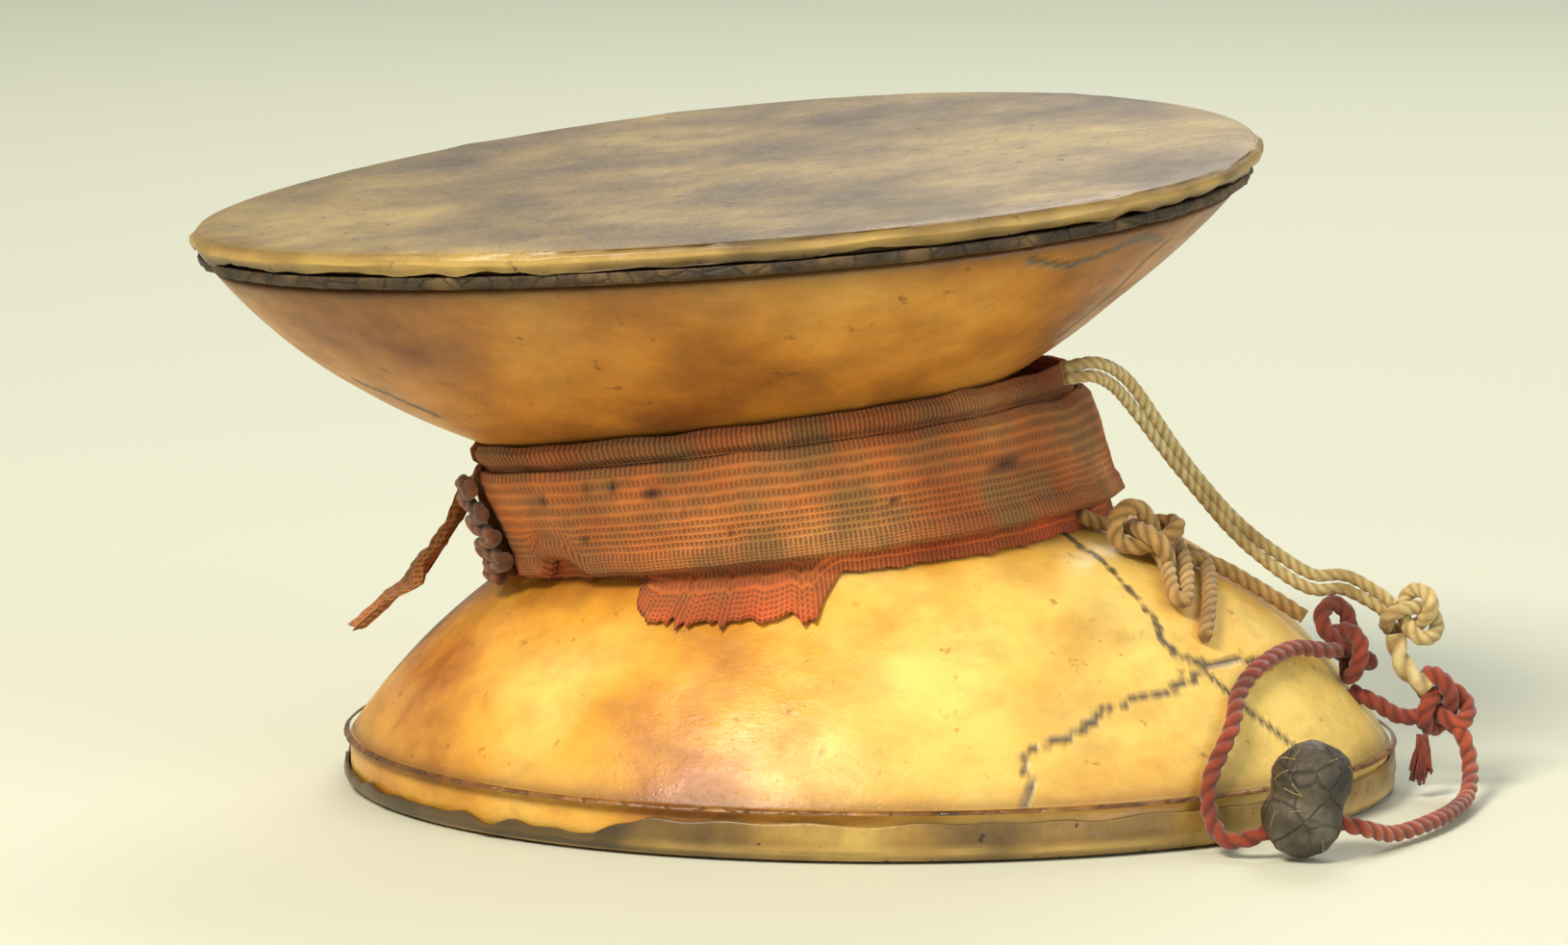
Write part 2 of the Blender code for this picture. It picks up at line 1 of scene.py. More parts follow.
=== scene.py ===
# Skull drum: the looks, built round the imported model.
# The dictionaries hold millimetres and degrees, and the scene is in metres.
import json
import random
from math import atan2, ceil, cos, degrees, exp, pi, radians, sin

import bmesh
import bpy
import numpy as np
from mathutils import Euler, Matrix, Vector, noise
from mathutils.bvhtree import BVHTree

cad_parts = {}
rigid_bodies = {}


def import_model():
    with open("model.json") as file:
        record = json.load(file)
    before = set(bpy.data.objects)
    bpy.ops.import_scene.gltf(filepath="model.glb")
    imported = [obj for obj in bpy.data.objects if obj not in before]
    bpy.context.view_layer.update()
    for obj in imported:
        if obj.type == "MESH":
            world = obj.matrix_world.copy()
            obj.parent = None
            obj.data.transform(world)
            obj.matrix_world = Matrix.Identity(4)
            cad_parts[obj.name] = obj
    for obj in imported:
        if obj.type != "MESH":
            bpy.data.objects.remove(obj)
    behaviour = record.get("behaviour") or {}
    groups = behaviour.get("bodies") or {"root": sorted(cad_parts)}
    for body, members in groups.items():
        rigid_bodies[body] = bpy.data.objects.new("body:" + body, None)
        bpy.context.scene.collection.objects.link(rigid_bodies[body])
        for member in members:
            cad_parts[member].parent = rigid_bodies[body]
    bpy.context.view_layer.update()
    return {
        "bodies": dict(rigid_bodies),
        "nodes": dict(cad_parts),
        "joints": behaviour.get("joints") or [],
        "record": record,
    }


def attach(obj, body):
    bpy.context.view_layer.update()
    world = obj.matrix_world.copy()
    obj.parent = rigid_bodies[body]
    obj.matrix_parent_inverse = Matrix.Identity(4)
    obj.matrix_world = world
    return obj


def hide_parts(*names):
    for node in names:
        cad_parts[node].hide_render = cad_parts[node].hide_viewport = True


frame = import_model()
nodes = frame["nodes"]
mm = 0.001

# Camera
cameraView = {
    "target": (-2.0, -4.5, 44.0),
    "distance": 1300,
    "elevation": 8.5,
    "lens": 212.5,
    "sensor": 36,
    "picture": (1630, 982),
}
cameraData = bpy.data.cameras.new("camera")
cameraData.lens = cameraView["lens"]
cameraData.sensor_width = cameraView["sensor"]
camera = bpy.data.objects.new("camera", cameraData)
bpy.context.collection.objects.link(camera)
cameraTilt = radians(cameraView["elevation"])
cameraBack = Vector((0, -cos(cameraTilt), sin(cameraTilt))) * cameraView["distance"]
camera.location = (Vector(cameraView["target"]) + cameraBack) * mm
camera.rotation_euler = (pi / 2 - cameraTilt, 0, 0)
bpy.context.scene.camera = camera
bpy.context.view_layer.update()


def pictureRay(x, y):
    # the direction from the camera through a point of the 1630 by 982 picture
    wide, high = cameraView["picture"]
    scale = cameraView["sensor"] / cameraView["lens"] / wide
    across = Vector(((x - wide / 2) * scale, (high / 2 - y) * scale, -1))
    return (camera.rotation_euler.to_matrix() @ across).normalized()


# Nodes and colours
def shade(hexCode):
    # sRGB hex to linear
    found = []
    for i in (0, 2, 4):
        value = int(hexCode[i:i + 2], 16) / 255
        found.append(value / 12.92 if value <= 0.04045 else ((value + 0.055) / 1.055) ** 2.4)
    return (*found, 1.0)


def addNode(tree, kind, settings=None, **inputs):
    # adds a node; an input is a value or another node's output, and i0 is the first socket
    node = tree.nodes.new("ShaderNode" + kind)
    for key, value in (settings or {}).items():
        setattr(node, key, value)
    for key, value in inputs.items():
        numbered = key[0] == "i" and key[1:].isdigit()
        slot = node.inputs[int(key[1:]) if numbered else key]
        if isinstance(value, bpy.types.NodeSocket):
            tree.links.new(value, slot)
        else:
            slot.default_value = value
    return node


def startMaterial(name, roughness=0.5, **settings):
    made = bpy.data.materials.new(name)
    made.use_nodes = True
    tree = made.node_tree
    shader = tree.nodes["Principled BSDF"]
    shader.inputs["Roughness"].default_value = roughness
    for key, value in settings.items():
        shader.inputs[key.replace("_", " ")].default_value = value
    place = addNode(tree, "TexCoord").outputs["Object"]
    return made, tree, shader, place


def ramp(tree, factor, stops):
    # colours by factor: (place, hex) pairs
    node = addNode(tree, "ValToRGB", Fac=factor)
    band = node.color_ramp
    while len(band.elements) < len(stops):
        band.elements.new(0.5)
    for element, (place, colour) in zip(band.elements, stops):
        element.position = place
        element.color = shade(colour) if isinstance(colour, str) else (colour, colour, colour, 1)
    return node.outputs["Color"]


def mixed(tree, factor, a, b, blend="MIX"):
    node = addNode(tree, "Mix", {"data_type": "RGBA", "blend_type": blend}, i0=factor)
    for slot, value in ((6, a), (7, b)):
        if isinstance(value, bpy.types.NodeSocket):
            tree.links.new(value, node.inputs[slot])
        else:
            node.inputs[slot].default_value = shade(value)
    return node.outputs[2]


def grains(tree, place, size, detail=4.0, stretch=(1, 1, 1), crispness=0.55):
    # noise whose blotches are about size millimetres
    turned = addNode(tree, "Mapping", Vector=place, Scale=stretch)
    made = addNode(
        tree,
        "TexNoise",
        Vector=turned.outputs[0],
        Scale=1000 / size / 2,
        Detail=detail,
        Roughness=crispness,
    )
    return made.outputs["Fac"]


def mathNode(tree, operation, a, b=0.0):
    return addNode(tree, "Math", {"operation": operation}, i0=a, i1=b).outputs[0]


def attribute(tree, name):
    return addNode(tree, "Attribute", {"attribute_name": name}).outputs["Fac"]


def bump(tree, shader, height, depth, under=None):
    # relief of depth millimetres
    below = {} if under is None else {"Normal": under}
    made = addNode(tree, "Bump", Height=height, Distance=depth * mm, Strength=1.0, **below)
    tree.links.new(made.outputs[0], shader.inputs["Normal"])
    return made.outputs[0]


def plugIn(tree, shader, colour, roughness=None):
    tree.links.new(colour, shader.inputs["Base Color"])
    if roughness is not None:
        tree.links.new(roughness, shader.inputs["Roughness"])


def boneMaterial(name, pale, warm, deep, stain, gloss):
    # old bone, rubbed with oil: waxy low sheen, amber blotches, fine pits and dark hairlines
    made, tree, shader, place = startMaterial(
        name,
        gloss,
        Subsurface_Weight=0.05,
        Subsurface_Scale=0.004,
        Coat_Weight=0.1,
        Coat_Roughness=0.3,
    )
    shader.inputs["Subsurface Radius"].default_value = (1.0, 0.5, 0.2)
    broad = grains(tree, place, 26, 5)
    fine = grains(tree, place, 4.5, 6, (1, 1, 1.8), 0.65)
    body = ramp(tree, broad, ((0.34, deep), (0.47, warm), (0.62, pale)))
    streaks = ramp(tree, fine, ((0.35, 0.62), (0.55, 1.0)))
    body = mixed(tree, 0.55, body, streaks, "MULTIPLY")
    spots = ramp(tree, grains(tree, place, 1.3, 3), ((0.66, 0.0), (0.74, 1.0)))
    body = mixed(tree, mathNode(tree, "MULTIPLY", spots, 0.5), body, stain)
    body = mixed(tree, attribute(tree, "dirtAndHoleShade"), body, stain)
    body = mixed(tree, attribute(tree, "suture"), body, "5d5141")
    roughness = ramp(tree, fine, ((0.3, gloss + 0.14), (0.7, gloss - 0.06)))
    plugIn(tree, shader, body, roughness)
    pits = addNode(tree, "TexVoronoi", Vector=place, Scale=900.0).outputs["Distance"]  # 1.1 mm apart
    relief = bump(tree, shader, ramp(tree, pits, ((0.0, 0.0), (0.25, 1.0))), 0.05)
    relief = bump(tree, shader, fine, 0.35, relief)
    bump(tree, shader, mathNode(tree, "SUBTRACT", 1.0, attribute(tree, "suture")), 0.35, relief)
    return made


def hideMaterial(name, pale, body, deep, gloss):
    # dried rawhide: thin, translucent at edges, greasy sheen, brown patina and dark specks
    made, tree, shader, place = startMaterial(name, gloss, Coat_Weight=0.2, Coat_Roughness=0.35)
    broad = grains(tree, place, 18, 6)
    tone = ramp(tree, broad, ((0.32, deep), (0.5, body), (0.68, pale)))
    streak = ramp(tree, grains(tree, place, 3.2, 5, (1, 1, 0.35), 0.6), ((0.38, 0.55), (0.6, 1.0)))
    tone = mixed(tree, 0.6, tone, streak, "MULTIPLY")
    specks = ramp(tree, grains(tree, place, 0.9, 2), ((0.68, 0.0), (0.72, 1.0)))
    tone = mixed(tree, specks, tone, "2e2417")
    # painted highlight: a lighter band along the rim's rolled edge
    tone = mixed(tree, attribute(tree, "rimHighlight"), tone, "c9a65c")
    tone = mixed(tree, attribute(tree, "dirtAndHoleShade"), tone, "35291a")
    plugIn(tree, shader, tone, ramp(tree, broad, ((0.3, gloss + 0.15), (0.7, gloss - 0.08))))
    relief = bump(tree, shader, grains(tree, place, 2.2, 6), 0.35)
    bump(tree, shader, grains(tree, place, 0.5, 3), 0.08, relief)
    return made


threadPitch = 0.75  # the real 0.6 mm, drawn a little coarser so that it shows


def clothMaterial(name, pale, body, deep, dirt):
    # handwoven cotton: a plain weave, faded, with greasy brown patina
    made, tree, shader, place = startMaterial(name, 0.92, Sheen_Weight=0.05, Sheen_Roughness=0.6)
    spot = addNode(tree, "TexCoord").outputs["UV"]  # UV holds metres along and across the cloth
    threads = []
    for turn in (0, pi / 2):
        lined = addNode(tree, "Mapping", Vector=spot, Rotation=(0, 0, turn))
        wave = addNode(
            tree,
            "TexWave",
            {"bands_direction": "X"},
            Vector=lined.outputs[0],
            Scale=0.314 / (threadPitch * mm),  # a wave of scale 1 repeats every 0.314
            Distortion=0.8,
            Detail=1.0,
        )
        threads.append(wave.outputs["Fac"])
    weave = mathNode(tree, "MAXIMUM", threads[0], threads[1])
    broad = grains(tree, place, 13, 5)
    tone = ramp(tree, broad, ((0.32, deep), (0.5, body), (0.66, pale)))
    worn = ramp(tree, grains(tree, place, 5, 6), ((0.42, 0.0), (0.62, 0.85)))
    tone = mixed(tree, worn, tone, dirt)
    # painted shade in the gaps between the threads of the weave
    weaveShade = ramp(tree, weave, ((0.2, 0.5), (0.8, 1.0)))
    tone = mixed(tree, 0.75, tone, weaveShade, "MULTIPLY")
    # painted shade, near black, inside the worn holes and the slit
    tone = mixed(tree, attribute(tree, "dirtAndHoleShade"), tone, "1d110b")
    plugIn(tree, shader, tone)
    relief = bump(tree, shader, weave, 0.3)
    bump(tree, shader, grains(tree, place, 2.0, 5), 0.3, relief)
    return made


def yarnMaterial(name, pale, body, deep, fuzz=0.3):
    # twisted yarn: matt fibres, with painted shade in the grooves between plies
    made, tree, shader, place = startMaterial(name, 0.9, Sheen_Weight=fuzz, Sheen_Roughness=0.5)
    broad = grains(tree, place, 7, 4)
    tone = ramp(tree, broad, ((0.3, deep), (0.5, body), (0.7, pale)))
    fibre = grains(tree, place, 0.5, 4)
    tone = mixed(tree, 0.5, tone, ramp(tree, fibre, ((0.3, 0.55), (0.6, 1.0))), "MULTIPLY")
    # painted shade: darker in the grooves between the plies
    tone = mixed(tree, mathNode(tree, "MULTIPLY", attribute(tree, "groove"), 0.75), tone, deep)
    plugIn(tree, shader, tone)
    bump(tree, shader, fibre, 0.16)
    return made


def crustMaterial(name, pale, body, deep, gloss, size):
    # pitch, resin or wax: crazed, darker in the cracks
    made, tree, shader, place = startMaterial(name, gloss)
    tone = ramp(tree, grains(tree, place, size, 6), ((0.3, deep), (0.52, body), (0.7, pale)))
    edges = {"feature": "DISTANCE_TO_EDGE"}
    cells = addNode(tree, "TexVoronoi", edges, Vector=place, Scale=800 / size).outputs["Distance"]
    cracks = ramp(tree, cells, ((0.0, 0.25), (0.07, 1.0)))
    tone = mixed(tree, 0.6, tone, cracks, "MULTIPLY")
    plugIn(tree, shader, tone)
    relief = bump(tree, shader, cracks, 0.25)
    bump(tree, shader, grains(tree, place, size / 3, 6), 0.5, relief)
    return made


lowerBone = boneMaterial("oiledBoneAmber", "f6d272", "e5a63a", "a8611c", "6b4218", 0.38)
upperBone = boneMaterial("oiledBoneHoney", "e0a850", "bf802f", "7c4718", "4a2d14", 0.4)
upperHide = hideMaterial("rawhideGreyTan", "b3954f", "82652f", "3f2d16", 0.42)
lowerHide = hideMaterial("rawhideGolden", "c9a95c", "9c7838", "4d3820", 0.38)
pitch = crustMaterial("blackPitch", "7a5f38", "46341f", "1a130c", 0.6, 3.2)
resin = crustMaterial("brownResin", "a8783c", "75491f", "3a2210", 0.4, 5)
wax = crustMaterial("dirtyWax", "6e6553", "453c2f", "201a14", 0.55, 3.6)
fadedCloth = clothMaterial("fadedRedCotton", "cf8a48", "c06a2c", "8a4418", "8a6434")
brightCloth = clothMaterial("brightRedCotton", "e07a3c", "cf5a24", "963a14", "a05a28")
brownYarn = yarnMaterial("brownTwine", "b8763e", "8f5228", "4a2712")
creamYarn = yarnMaterial("creamCotton", "ecdca8", "d4bc80", "8a6c38")
beigeYarn = yarnMaterial("beigeTwine", "d8b878", "b88e4c", "6a4a22")
redWool = yarnMaterial("brickWool", "bc5a34", "983a1e", "4c1a0c", 0.35)
strawFibre = yarnMaterial("straw", "b09a68", "8c7546", "54421f")
woodGrain = crustMaterial("pegWood", "8a6236", "6a4523", "3a2412", 0.7, 6)
print("materials made")


# Meshes
def wrapGrid(mesh, columns, rows, place, spans=None):
    # a grid laid on the surface that place(u, v) gives; spans, in metres, goes into the UV map
    made = bmesh.ops.create_grid(mesh, x_segments=columns, y_segments=rows, size=0.5)
    layer = mesh.loops.layers.uv.verify()
    spots = {}
    for vertex in made["verts"]:
        spots[vertex] = (vertex.co.x + 0.5, vertex.co.y + 0.5)
    wide, high = spans or (1, 1)
    for vertex in made["verts"]:
        for loop in vertex.link_loops:
            loop[layer].uv = (spots[vertex][0] * wide, spots[vertex][1] * high)
    for vertex, (u, v) in spots.items():
        vertex.co = place(u, v)
    return made["verts"]


def finishPiece(name, mesh, material, body, replaced=(), weld=2e-6):
    bmesh.ops.remove_doubles(mesh, verts=mesh.verts, dist=weld)
    bmesh.ops.recalc_face_normals(mesh, faces=mesh.faces)
    data = bpy.data.meshes.new(name)
    mesh.to_mesh(data)
    mesh.free()
    data.shade_smooth()
    data.materials.append(material)
    made = bpy.data.objects.new(name, data)
    bpy.context.collection.objects.link(made)
    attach(made, body)
    if replaced:
        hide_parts(*replaced)
    return made


def paint(piece, name, values):
    # a number per vertex that the material reads
    layer = piece.data.attributes.new(name, "FLOAT", "POINT")
    layer.data.foreach_set("value", np.asarray(values, dtype=np.float32))


def places(piece):
    # where its vertices are, as one array
    found = np.empty(len(piece.data.vertices) * 3, dtype=np.float32)
    piece.data.vertices.foreach_get("co", found)
    return found.reshape(-1, 3)


def treeOf(piece):
    # for casting rays at it
    points = [vertex.co for vertex in piece.data.vertices]
    return BVHTree.FromPolygons(points, [face.vertices[:] for face in piece.data.polygons])


def rough(point, size, seed=0.0):
    # soft noise from -1 to 1 with lumps of size millimetres
    return noise.noise(Vector(point) / (size * mm) + Vector((seed, seed * 1.7, seed * 0.6)))


# Bowls
lowerBowl = {
    "length": 147.0, "width": 130.0, "egg": -0.058, "turn": -16.2,
    "base": 3.0, "out": 2.3, "fullness": 2.54, "lean": 0.43, "shoulder": 1.13,
    "bandTop": 6.4, "bandProud": 0.3,
}
upperBowl = {
    "length": 151.0, "width": 129.8, "egg": 0.21, "turn": -18.4,
    "base": 2.0, "out": -0.4, "fullness": 1.89, "lean": -0.53, "shoulder": 1.18,
}
drumSizes = {
    "lowerCentre": (10.1, -0.8, 0), "upperCentre": (-10.9, -4.5, 86.2), "roll": -4.33, "pitch": 1.7,
    "waist": (1.1, -4.5, 44.5), "crownGap": 1.6, "wall": 5.0, "rimWall": 4.5,
    "skin": 0.8, "gap": 0.3, "pitchTop": 5.9, "pitchThickness": 1.3, "neckStep": 0.6,
    "lipHeight": 3.0, "lapHeight": 5.8, "tornLapHeight": 2.4, "tornFrom": 172, "tornTo": 241,
    "tornEdge": 7, "boreShare": 0.065,
}
gap = drumSizes["gap"] * mm
waist = Vector(drumSizes["waist"]) * mm
lowerBowl["frame"] = Matrix.Translation(Vector(drumSizes["lowerCentre"]) * mm)
tilt = Euler((radians(drumSizes["pitch"]), radians(drumSizes["roll"]), 0)).to_matrix().to_4x4()
upperBowl["frame"] = (
    Matrix.Translation(Vector(drumSizes["upperCentre"]) * mm) @ tilt @ Matrix.Rotation(pi, 4, "X")
)
crownStep = Vector((0, 0, drumSizes["crownGap"] / 2 * mm))
lowerBowl["crown"] = lowerBowl["frame"].inverted() @ (waist - crownStep)
upperBowl["crown"] = upperBowl["frame"].inverted() @ (waist + crownStep)


def mouthPoint(bowl, t, inset=0.0, height=0.0):
    # the egg-shaped outline, in the bowl's own frame: head at z = 0, crown up
    x = (bowl["length"] / 2 * mm - inset) * cos(t)
    y = (bowl["width"] / 2 * mm - inset) * sin(t) * (1 + bowl["egg"] * cos(t))
    turn = radians(bowl["turn"])
    return Vector((x * cos(turn) - y * sin(turn), x * sin(turn) + y * cos(turn), height))


def domePower(bowl, t):
    return bowl["fullness"] + bowl["lean"] * cos(t + radians(bowl["turn"]))


def domePoint(bowl, t, share, wall=0.0):
    # the dome's surface at a share of the way out from the crown
    middle = Vector((bowl["crown"].x, bowl["crown"].y, 0))
    point = middle.lerp(mouthPoint(bowl, t, wall - bowl["out"] * mm), share)
    base = bowl["base"] * mm
    rise = max(1 - share ** domePower(bowl, t), 0) ** (1 / bowl["shoulder"])
    point.z = base + (bowl["crown"].z - wall - base) * rise
    return point


def shareAt(bowl, t, height):
    # how far out from the crown the dome has that height above the head
    base = bowl["base"] * mm
    rise = max((height - base) / (bowl["crown"].z - base), 0)
    return (1 - rise ** bowl["shoulder"]) ** (1 / domePower(bowl, t))


def domeAt(bowl, t, height, out=0.0):
    # the dome's surface at a height above the head
    middle = Vector((bowl["crown"].x, bowl["crown"].y, 0))
    reach = mouthPoint(bowl, t, -bowl["out"] * mm - out) - middle
    point = middle + reach * shareAt(bowl, t, height) + reach.normalized() * out
    point.z = height
    return point


def neckPoint(t, height, out=0.0):
    # the upper bowl's neck, set in to seat the lip and the pitch
    point = domeAt(upperBowl, t, drumSizes["pitchTop"] * mm, out - drumSizes["neckStep"] * mm)
    point.z = height
    return point


# columns round the bowl, rows from its bore to the rim, and lumps as size and depth
bowlMesh = {
    "around": 620, "innerRows": 14, "outerRows": 120, "innerEnd": 0.92,
    "lumps": (22, 0.35), "dimples": (7, 0.12),
}


def buildBowl(name, bowl, rim, firstHeight, material):
    # inner wall from the bore to the rim, the rim's own rings, then the dome back to the bore
    bore = drumSizes["boreShare"]
    innerRows = bowlMesh["innerRows"]
    outerRows = bowlMesh["outerRows"]
    inner = [bore + (bowlMesh["innerEnd"] - bore) * i / (innerRows - 1) for i in range(innerRows)]
    domeStart = innerRows + len(rim)
    count = domeStart + outerRows
    lumpSize, lumpDepth = bowlMesh["lumps"]
    dimpleSize, dimpleDepth = bowlMesh["dimples"]

    def place(u, v):
        t = 2 * pi * u
        k = round(v * count) % count  # the last row closes on the first, through the bore
        if k < innerRows:
            point = domePoint(bowl, t, inner[k], drumSizes["wall"] * mm)
        elif k < domeStart:
            point = rim[k - innerRows](t)
        else:
            j = (k - domeStart) / (outerRows - 1)
            first = shareAt(bowl, t, firstHeight)
            eased = 0.35 * sin(pi / 2 * j) + 0.65 * j  # rows lie closer by the rim
            point = domePoint(bowl, t, first + (bore - first) * eased)
            if j > 0.02:
                lump = rough(point, lumpSize, 3) * lumpDepth + rough(point, dimpleSize, 5) * dimpleDepth
                point.z += lump * mm * min(1, j * 6) * min(1, (1 - j) * 6)
        return bowl["frame"] @ point

    mesh = bmesh.new()
    wrapGrid(mesh, bowlMesh["around"], count, place)
    return finishPiece(name, mesh, material, "drum", (name.replace("_bone", ""),))


def mouthStops(bowl, *stops):
    # points of the outline as functions of the angle, each from an inset and a height
    def stop(inset, height):
        return lambda t: mouthPoint(bowl, t, inset, height(t) if callable(height) else height)

    return [stop(inset, height) for inset, height in stops]


rimFoot = (drumSizes["skin"] + drumSizes["gap"]) * mm
proud = lowerBowl["bandProud"] * mm
bandTop = lowerBowl["bandTop"] * mm
lowerRim = mouthStops(
    lowerBowl,
    (drumSizes["rimWall"] * mm, rimFoot),
    (0.5 * mm - proud, rimFoot),
    (-proud, rimFoot + 0.5 * mm),
    (-proud, bandTop * 0.5),
    (-proud, bandTop - 0.3 * mm),
    (0.3 * mm - proud, bandTop),
)
neckTop = (drumSizes["pitchTop"] - drumSizes["gap"]) * mm
upperRim = mouthStops(upperBowl, ((drumSizes["rimWall"] + 2) * mm, rimFoot)) + [
    lambda t: neckPoint(t, rimFoot),
    lambda t: neckPoint(t, neckTop * 0.6),
    lambda t: neckPoint(t, neckTop),
]
lowerShell = buildBowl("lower_bowl_bone", lowerBowl, lowerRim, bandTop, lowerBone)
upperShell = buildBowl("upper_bowl_bone", upperBowl, upperRim, drumSizes["pitchTop"] * mm, upperBone)
lowerTree = treeOf(lowerShell)
upperTree = treeOf(upperShell)
print("bowls made")


def seenPoint(tree, x, y):
    # where the line from the camera through a point of the picture meets a surface
    return tree.ray_cast(camera.location, pictureRay(x, y))[0]


def jagged(points, wiggle, size, seed, spacing=0.5):
    # a line through points, resampled and shaken as a suture is
    random.seed(seed)
    found = []
    for a, b in zip(points, points[1:]):
        count = max(1, round((b - a).length / (spacing * mm)))
        for i in range(count):
            point = a.lerp(b, i / count)
            shake = Vector([rough(point, size, seed + step) for step in (0, 9, 21)])
            kick = Vector([random.uniform(-0.3, 0.3) for _ in range(3)])
            found.append(point + (shake + kick) * wiggle * mm)
    return found + [points[-1]]


def nearness(spots, line, width, soft):
    # 1 on the line, fading to 0 past its width, per vertex
    best = np.full(len(spots), 9.0)
    line = np.array([list(point) for point in line])
    for a, b in zip(line, line[1:]):
        way = b - a
        share = np.clip(((spots - a) @ way) / max(way @ way, 1e-12), 0, 1)
        gapTo = np.linalg.norm(spots - (a + share[:, None] * way), axis=1)
        best = np.minimum(best, gapTo)
    return np.clip(1 - (best - width * mm) / (soft * mm), 0, 1)


# Sutures and cracks, as a width, a shake, a seed and a line over the picture
boneLines = {
    "lower": [
        (0.32, 1.1, 3, (1106, 556), (1115, 562), (1140, 580), (1170, 605), (1185, 625), (1200, 640),
         (1210, 665), (1225, 680), (1255, 692)),
        (0.27, 1.0, 5, (1255, 692), (1240, 705), (1210, 720), (1180, 728), (1150, 740), (1130, 752),
         (1115, 765), (1090, 775), (1070, 778), (1065, 790), (1070, 800), (1068, 812), (1075, 825),
         (1065, 838)),
        (0.27, 0.8, 7, (1255, 692), (1280, 687), (1300, 685), (1318, 690)),
        (0.24, 0.15, 9, (1255, 700), (1300, 740), (1350, 780)),
    ],
    "upper": [
        (0.32, 0.3, 11, (1060, 390), (1100, 350), (1150, 310), (1190, 270), (1215, 250), (1290, 200)),
        (0.37, 0.6, 13, (1067, 255), (1075, 270), (1110, 277), (1150, 262), (1190, 245), (1205, 250)),
        (0.42, 0.4, 15, (370, 395), (410, 412), (455, 432), (500, 462)),
    ],
}
sutureJag = 1.4
sutureFade = 0.42
# dirt on the bone: how much of the patches shows, and from what height above the head the rim's dirt
# fades, over how far; there is little of it up to bandTop
boneDirt = {
    "lower": {"patches": 0.4, "rim": 7.2, "fade": 1.6, "strength": 0.75, "bandTop": 6.5, "bandShare": 0.15},
    "upper": {"patches": 0.8, "rim": 6.0, "fade": 2.5, "strength": 0.7, "bandTop": 0, "bandShare": 0},
}


def boneGrime(dirt, spot, height):
    patch = max(0, rough(spot, 16, 7) - 0.28) * 1.6 * dirt["patches"]
    rim = exp(-max(height - dirt["rim"], 0) / dirt["fade"]) * dirt["strength"]
    if height <= dirt["bandTop"]:
        rim *= dirt["bandShare"]
    return min(1, max(patch, rim))


for key, bowl, shell, tree in (
    ("lower", lowerBowl, lowerShell, lowerTree),
    ("upper", upperBowl, upperShell, upperTree),
):
    spots = places(shell)
    suture = np.zeros(len(spots))
    for width, wiggle, seed, *line in boneLines[key]:
        points = [seenPoint(tree, x, y) for x, y in line]
        points = [point for point in points if point is not None]
        if len(points) > 1:
            jags = jagged(points, wiggle, sutureJag, seed)
            suture = np.maximum(suture, nearness(spots, jags, width, sutureFade))
    paint(shell, "suture", suture)
    toHead = bowl["frame"].inverted()
    found = [Vector(spot) for spot in spots.tolist()]
    paint(shell, "dirtAndHoleShade", [boneGrime(boneDirt[key], spot, (toHead @ spot).z / mm) for spot in found])


# Heads of dried hide
def lapHeight(t):
    # height of the lower head's lap; torn away at the lower left
    start = radians(drumSizes["tornFrom"] - lowerBowl["turn"])
    end = radians(drumSizes["tornTo"] - lowerBowl["turn"])
    share = min(max(min(t - start, end - t) / radians(drumSizes["tornEdge"]) + 0.5, 0), 1)
    whole = drumSizes["lapHeight"] - 0.5 + 0.55 * noise.noise(Vector((t * 9, 2, 0)))
    torn = drumSizes["tornLapHeight"] + 1.3 * noise.noise(Vector((t * 14, 2, 4)))
    return (whole + (torn - whole) * share) * mm


skinGap = (lowerBowl["bandProud"] + drumSizes["gap"]) * mm
skinOut = skinGap + drumSizes["skin"] * mm
hideMesh = {"around": 420, "perStop": 7}


def buildHide(name, bowl, stops, material, replaced, unevenness):
    # stops are the profile from the outer face's middle over the edge to the inner face's middle
    def place(u, v):
        t = 2 * pi * u
        spot = v * (len(stops) - 1)
        i = min(int(spot), len(stops) - 2)
        point = stops[i](t).lerp(stops[i + 1](t), spot - i)
        outward = Vector((point.x, point.y, 0)).normalized()
        uneven = unevenness(spot)
        if uneven > 0:
            world = bowl["frame"] @ point
            swelling = 0.7 * rough(point, 9, 31) + 0.3 * rough(world, 2.6, 17)
            point += outward * swelling * uneven * mm
            point.z += 0.45 * rough(world, 12, 41) * uneven * mm
        return bowl["frame"] @ point

    mesh = bmesh.new()
    wrapGrid(mesh, hideMesh["around"], hideMesh["perStop"] * (len(stops) - 1), place)
    return finishPiece(name, mesh, material, "drum", replaced)


def discStop(bowl, share, height):
    # a point on the head's face, at a share of the way out to its edge
    def stop(t):
        edge = mouthPoint(bowl, t)
        return Vector((edge.x * share, edge.y * share, height))

    return stop


skinDepth = drumSizes["skin"] * mm
lowerStops = [discStop(lowerBowl, 0.0, 0.0), discStop(lowerBowl, 0.6, 0.0)]
lowerStops += mouthStops(
    lowerBowl,
    (1.8 * mm, 0),
    (0.9 * mm - skinOut, 0.25 * mm),
    (0.2 * mm - skinOut, 1.1 * mm),
    (-skinOut, lambda t: 0.6 * lapHeight(t)),
    (0.25 * mm - skinOut, lapHeight),
    (-skinGap, lapHeight),
    (-skinGap, 1.3 * mm),
    (0.5 * mm - skinGap, skinDepth),
)
lowerStops.append(discStop(lowerBowl, 0.0, skinDepth))
lowerHead = buildHide(
    "lower_head", lowerBowl, lowerStops, lowerHide, ("lower_skin",),
    lambda s: 0.5 if 4.2 < s < 6.4 else 0,
)
lip = drumSizes["lipHeight"] * mm
bead = (drumSizes["gap"] + drumSizes["pitchThickness"]) * mm


def lipWave(t):
    return (0.9 * noise.noise(Vector((t * 6, 1, 0))) + 0.5 * noise.noise(Vector((t * 17, 5, 0)))) * mm


